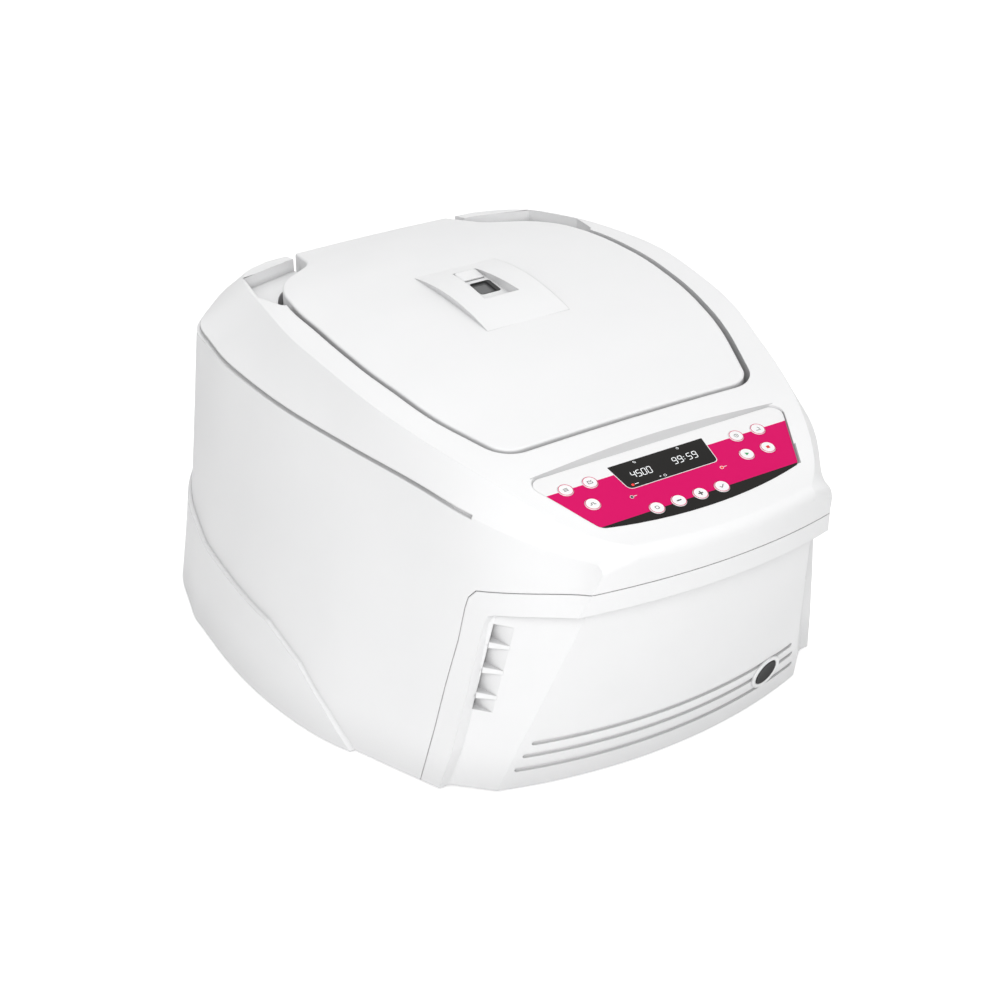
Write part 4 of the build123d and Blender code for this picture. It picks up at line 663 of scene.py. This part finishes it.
# drawn sheet: fine lines along X, and broad patches of the plating
drawn_sheet, given, out = effect(
    "drawn_sheet", {"Grain": 0.0005, "Patch": 0.03}, {"Height": "Float", "Patches": "Float"},
)
at = place(drawn_sheet, "TexCoord").outputs["Object"]
drawn = place(drawn_sheet, "Mapping", {"Vector": at, "Scale": (0.02, 1, 1)}).outputs[0]
drawn_sheet.links.new(noise(drawn_sheet, drawn, given["Grain"]), out.inputs["Height"])
drawn_sheet.links.new(noise(drawn_sheet, at, given["Patch"], 3.0), out.inputs["Patches"])

zinc_steel = finish(
    "zinc_steel", (0.56, 0.57, 0.58), (0.5, 0.51, 0.53), (0.3, 0.42), edge=(0.68, 0.69, 0.7), skin=drawn_sheet,
    depth=0.00001, soft=0.0005, share=0.5, metallic=1.0,
)
dress(zinc_steel, "rear_panel", "base_plate", "motor_plate", "power_supply", "lid_striker", "lock_bolt",
      "hinge_pins", "trunnion_pins")
dress(black_moulding, "mains_inlet", "fuse_drawer")
fan_moulding = finish(
    "fan_moulding", (0.03, 0.03, 0.032), (0.038, 0.038, 0.04), (0.5, 0.62), edge=(0.06, 0.06, 0.06),
    soft=0.0005,
)
dress(fan_moulding, "fan_frame", "fan_impeller", "imbalance_switch", "lock_housing")

rear_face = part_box("rear_panel")[1].y
head_radius, head_crown, shank_radius, shank_length = 3.6, 1.3, 2.0, 8.0
screw_head = np.stack([head_radius * np.cos(quarter), 0.7 + head_crown * np.sin(quarter)], -1)
screw_profile = [
    (0.0, -shank_length), (shank_radius, -shank_length), (shank_radius, 0.0), (head_radius, 0.0), *screw_head,
]
rear_screws = [(x * mm, rear_face, z * mm) for x, z in ((-124, 38), (124, 38), (-124, 196), (124, 196))]
shapes = [turned(screw_profile, place_at, (0, 1, 0), 32) for place_at in rear_screws]
heads = built("rear_screw_heads", *several(shapes), "machine", "plain_steel", zinc_steel)
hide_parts("rear_screws")
base_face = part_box("base_plate")[0].z
base_places = [(-208, -85), (208, -85), (-240, 60), (240, 60), (-222, 225), (222, 225)]
base_screws = [(x * mm, y * mm, base_face) for x, y in base_places]
shapes = [turned(screw_profile, place_at, (0, 0, -1), 32) for place_at in base_screws]
heads = built("base_screw_heads", *several(shapes), "machine", "plain_steel", zinc_steel)
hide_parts("base_screws")

# a dark cross on each crown: painted shade that stands in for the screwdriver's recess
cross = [bar((-1.3, 0), (1.3, 0), 0.6), bar((0, -1.3), (0, 1.3), 0.6)]
for index, place_at in enumerate(rear_screws, 1):
    on_head = seated(place_at, (-1, 0, 0), (0, 0, 1))
    film(f"rear_recess_shade_{index}", cross, 1.9, 2.02, on_head, "machine", "button_black", black_moulding)

# nickel blades over the moulding's own, inside the inlet's socket
inlet_low, inlet_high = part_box("mains_inlet")
inlet_middle = (np.array(inlet_low) + np.array(inlet_high)) / 2
nickel = finish(
    "nickel", (0.62, 0.6, 0.56), (0.55, 0.53, 0.5), (0.2, 0.3), skin=drawn_sheet, soft=0.0003, metallic=1.0,
)
socket_depth = 16.0
blade = rectangle(2.2, 5.2, 0.4)
blade_rows = [
    (shrunk(blade, share=0.01), 0.0), (blade, 0.0), (blade, 13.4), (shrunk(blade, share=0.7), 14.1),
    (shrunk(blade, share=0.01), 14.1),
]
for index, (x, z) in enumerate(((-7.0, -4.0), (7.0, -4.0), (0.0, -8.0)), 1):
    blade_root = (inlet_middle[0] + x * mm, inlet_high.y - socket_depth * mm, inlet_middle[2] + z * mm)
    on_blade = seated(blade_root, (-1, 0, 0), (0, 0, 1))
    banded(f"inlet_blade_{index}", blade_rows, on_blade, "machine", "plain_steel", nickel, closed=False)

# ---------------------------------------------------------------- feet
# Four moulded rubber feet with a rounded tread and a shallow sucker underneath, pushed
# up against the base plate.
rubber = finish("rubber", (0.022, 0.022, 0.023), (0.034, 0.034, 0.034), (0.6, 0.8), edge=(0.06, 0.06, 0.06))
foot_radius, tread_round = 13.0, 1.5
foot_profile = np.concatenate([
    [(0.0, 0.8), (8.0, 0.7), (9.2, 0.05), (9.8, 0.0)],
    np.stack([foot_radius - tread_round * (1 - np.sin(quarter)), tread_round * (1 - np.cos(quarter))], -1),
    [(foot_radius, 5.6), (12.4, 6.2), (12.4, 7.0), (0.0, 7.0)],
])
for index in range(1, 5):
    low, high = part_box(f"foot_{index}")
    shape = turned(foot_profile, ((low.x + high.x) / 2, (low.y + high.y) / 2, 0), (0, 0, 1), 64)
    foot = built(f"rubber_foot_{index}", *shape, "machine", "rubber_black", rubber)
    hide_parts(f"foot_{index}")
dress(rubber, "dampers")

# ---------------------------------------------------------------- chamber
# Bowl spun from stainless sheet, so its marks run round the rotor's axis. Its flange
# lies on the deck, and a rubber seal with a rounded lip lies on the flange.

# turned metal: fine rings round the rotor's axis, and broad patches
turned_metal, given, out = effect(
    "turned_metal", {"Grain": 0.0004, "Patch": 0.05}, {"Height": "Float", "Patches": "Float"},
)
rotor_y = 66.0 * mm
at = place(turned_metal, "TexCoord").outputs["Object"]
centred = place(turned_metal, "Mapping", {"Vector": at, "Location": (0, -rotor_y, 0)}).outputs[0]
parts = place(turned_metal, "SeparateXYZ", {0: centred}).outputs
radius = place(
    turned_metal, "VectorMath",
    {0: place(turned_metal, "CombineXYZ", {0: parts[0], 1: parts[1]}).outputs[0]}, operation="LENGTH",
).outputs["Value"]
rings_at = place(turned_metal, "CombineXYZ", {0: radius, 2: parts[2]}).outputs[0]
turned_metal.links.new(noise(turned_metal, rings_at, given["Grain"]), out.inputs["Height"])
turned_metal.links.new(noise(turned_metal, at, given["Patch"], 3.0), out.inputs["Patches"])

bowl_steel = finish(
    "bowl_steel", (0.6, 0.61, 0.62), (0.54, 0.55, 0.57), (0.22, 0.34), edge=(0.7, 0.7, 0.72), skin=turned_metal,
    depth=0.000012, soft=0.001, metallic=1.0,
)
dress(bowl_steel, "chamber_bowl")
seal_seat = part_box("chamber_gasket")[0].z
bead = np.linspace(0, pi, 12)
bead_radius, bead_level = 144.6, 3.6
seal_profile = np.concatenate([
    [(143.2, 0.0), (143.0, 1.2)],
    np.stack([bead_radius - 1.6 * np.cos(bead), bead_level + 1.7 * np.sin(bead)], -1),
    [(146.4, 2.6), (147.4, 2.2), (148.6, 2.0), (149.0, 1.4), (149.0, 0.0)],
])
shape = turned(seal_profile, (0, rotor_y, seal_seat), (0, 0, 1), 160, True)
seal = built("chamber_seal", *shape, "machine", "rubber_black", rubber)
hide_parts("chamber_gasket")

# ---------------------------------------------------------------- rotor
# Head turned from solid aluminium and anodised, with a steel nut on the shaft. The
# four buckets are turned too, in a slightly darker anodising, on ground steel pins.
rotor_aluminium = finish(
    "rotor_aluminium", (0.66, 0.67, 0.69), (0.6, 0.61, 0.64), (0.25, 0.36), edge=(0.78, 0.78, 0.8),
    skin=turned_metal, depth=0.000008, soft=0.0008, share=0.5, metallic=1.0,
)
dress(rotor_aluminium, "rotor_head", "heat_sink")
bucket_aluminium = finish(
    "bucket_aluminium", (0.5, 0.52, 0.55), (0.45, 0.47, 0.51), (0.3, 0.42), edge=(0.7, 0.7, 0.72),
    depth=0.00001, soft=0.0008, share=0.5, metallic=1.0,
)
dress(bucket_aluminium, *[f"bucket_{index}" for index in range(1, 5)])
ground_steel = finish(
    "ground_steel", (0.55, 0.55, 0.56), (0.5, 0.5, 0.52), (0.18, 0.3), edge=(0.7, 0.7, 0.7), skin=turned_metal,
    depth=0.000006, soft=0.0005, share=0.5, metallic=1.0,
)
dress(ground_steel, "drive_shaft", "rotor_nut", "upper_bearing", "lower_bearing", "motor_armature")

# ---------------------------------------------------------------- lid liner and drive
# Light grey liner moulding under the lid. Below the chamber a dark enamelled motor with
# copper windings, and the green circuit boards that stand beside it.
liner_moulding = finish(
    "liner_moulding", (0.5, 0.51, 0.53), (0.47, 0.48, 0.5), (0.45, 0.55), edge=(0.6, 0.6, 0.62),
)
dress(liner_moulding, "lid_liner")
enamel = finish("enamel", (0.07, 0.075, 0.08), (0.09, 0.095, 0.1), (0.35, 0.45), depth=0.00004, coat=0.2)
dress(enamel, "motor_housing")
copper = finish(
    "copper", (0.62, 0.27, 0.12), (0.5, 0.2, 0.09), (0.25, 0.4), skin=turned_metal, depth=0.0001,
    sizes={"Grain": 0.001}, metallic=1.0,
)
dress(copper, "motor_stator")
board_green = finish("board_green", (0.02, 0.15, 0.06), (0.03, 0.18, 0.08), (0.3, 0.45), edge=(0.3, 0.28, 0.15))
dress(board_green, "control_board")

# ---------------------------------------------------------------- floor, light, camera
# Pale seamless floor that shows as white and keeps a soft shadow, broad soft lamps over
# and in front of the machine, and the photograph's camera.
floor_half = 8.0
floor_line = np.linspace(-floor_half, floor_half, 9)
floor_x, floor_y = np.meshgrid(floor_line, floor_line, indexing="ij")
floor_points = np.stack([floor_x, floor_y, 0 * floor_x], -1).reshape(-1, 3)
floor_mesh = bpy.data.meshes.new("floor")
floor_mesh.from_pydata(floor_points.tolist(), [], grid(9, 9, False)[:, ::-1].tolist())
floor = bpy.data.objects.new("floor", floor_mesh)
bpy.context.scene.collection.objects.link(floor)


def seen_directly(tree):
    """Output that is 1 where the camera, a reflection or a look through glass meets the surface."""
    path = place(tree, "LightPath").outputs
    seen = reckon(tree, "MAXIMUM", path["Is Camera Ray"], path["Is Glossy Ray"])
    return reckon(tree, "MAXIMUM", seen, path["Is Transmission Ray"])


floor_glow = 0.6
floor_paint = bpy.data.materials.new("floor_paint")
floor_paint.use_nodes = True
tree = floor_paint.node_tree
shader = tree.nodes["Principled BSDF"]
drift = noise(tree, place(tree, "TexCoord").outputs["Object"], 0.5, 3.0)
tree.links.new(blend(tree, drift, (0.8, 0.8, 0.8), (0.82, 0.82, 0.82)), shader.inputs["Base Color"])
shader.inputs["Roughness"].default_value = 0.9
shader.inputs["Specular IOR Level"].default_value = 0.1
glow = place(tree, "Emission", {"Strength": floor_glow})
lifted = place(tree, "AddShader", {0: shader.outputs[0], 1: glow.outputs[0]})
shown = place(tree, "MixShader", {0: seen_directly(tree), 1: shader.outputs[0], 2: lifted.outputs[0]})
tree.links.new(shown.outputs[0], tree.nodes["Material Output"].inputs["Surface"])
floor_mesh.materials.append(floor_paint)

world = bpy.data.worlds.new("studio")
world.use_nodes = True
bpy.context.scene.world = world
tree = world.node_tree
surround = tree.nodes["Background"]
surround.inputs["Color"].default_value = (1, 1, 1, 1)
surround.inputs["Strength"].default_value = 0.32
backdrop = place(tree, "Background", {"Color": (1, 1, 1, 1), "Strength": 1.0})
shown = place(tree, "MixShader", {0: seen_directly(tree), 1: surround.outputs[0], 2: backdrop.outputs[0]})
tree.links.new(shown.outputs[0], tree.nodes["World Output"].inputs["Surface"])

# each soft lamp's place, the point that it faces, its size and its power
lamp_settings = {
    "overhead": ((0.2, 0.3, 2.4), (0, 0.1, 0.2), 1.8, 14.5),
    "near": ((-1.3, -2.0, 1.7), (0, 0, 0.2), 1.6, 48.0),
    "right": ((2.4, 0.4, 1.2), (0, 0, 0.15), 1.6, 9.0),
    "back": ((0.3, 2.4, 1.4), (0, 0, 0.2), 1.6, 6.0),
}
for name, (place_at, aim, size, power) in lamp_settings.items():
    light = bpy.data.lights.new(name, "AREA")
    light.shape = "DISK"
    light.size = size
    light.energy = power
    holder = bpy.data.objects.new(name, light)
    bpy.context.scene.collection.objects.link(holder)
    holder.location = place_at
    heading = Vector(aim) - Vector(place_at)
    holder.rotation_euler = heading.to_track_quat("-Z", "Y").to_euler()

camera = bpy.data.cameras.new("camera")
camera.lens = 72.0
camera.sensor_width = 36.0
camera.clip_end = 50.0
viewer = bpy.data.objects.new("camera", camera)
bpy.context.scene.collection.objects.link(viewer)
viewer.location = (-0.803585, -1.25026, 1.01758)
viewer.rotation_euler = (radians(59.226), 0, radians(-31.686))
bpy.context.scene.camera = viewer
bpy.context.scene.view_settings.view_transform = "Standard"
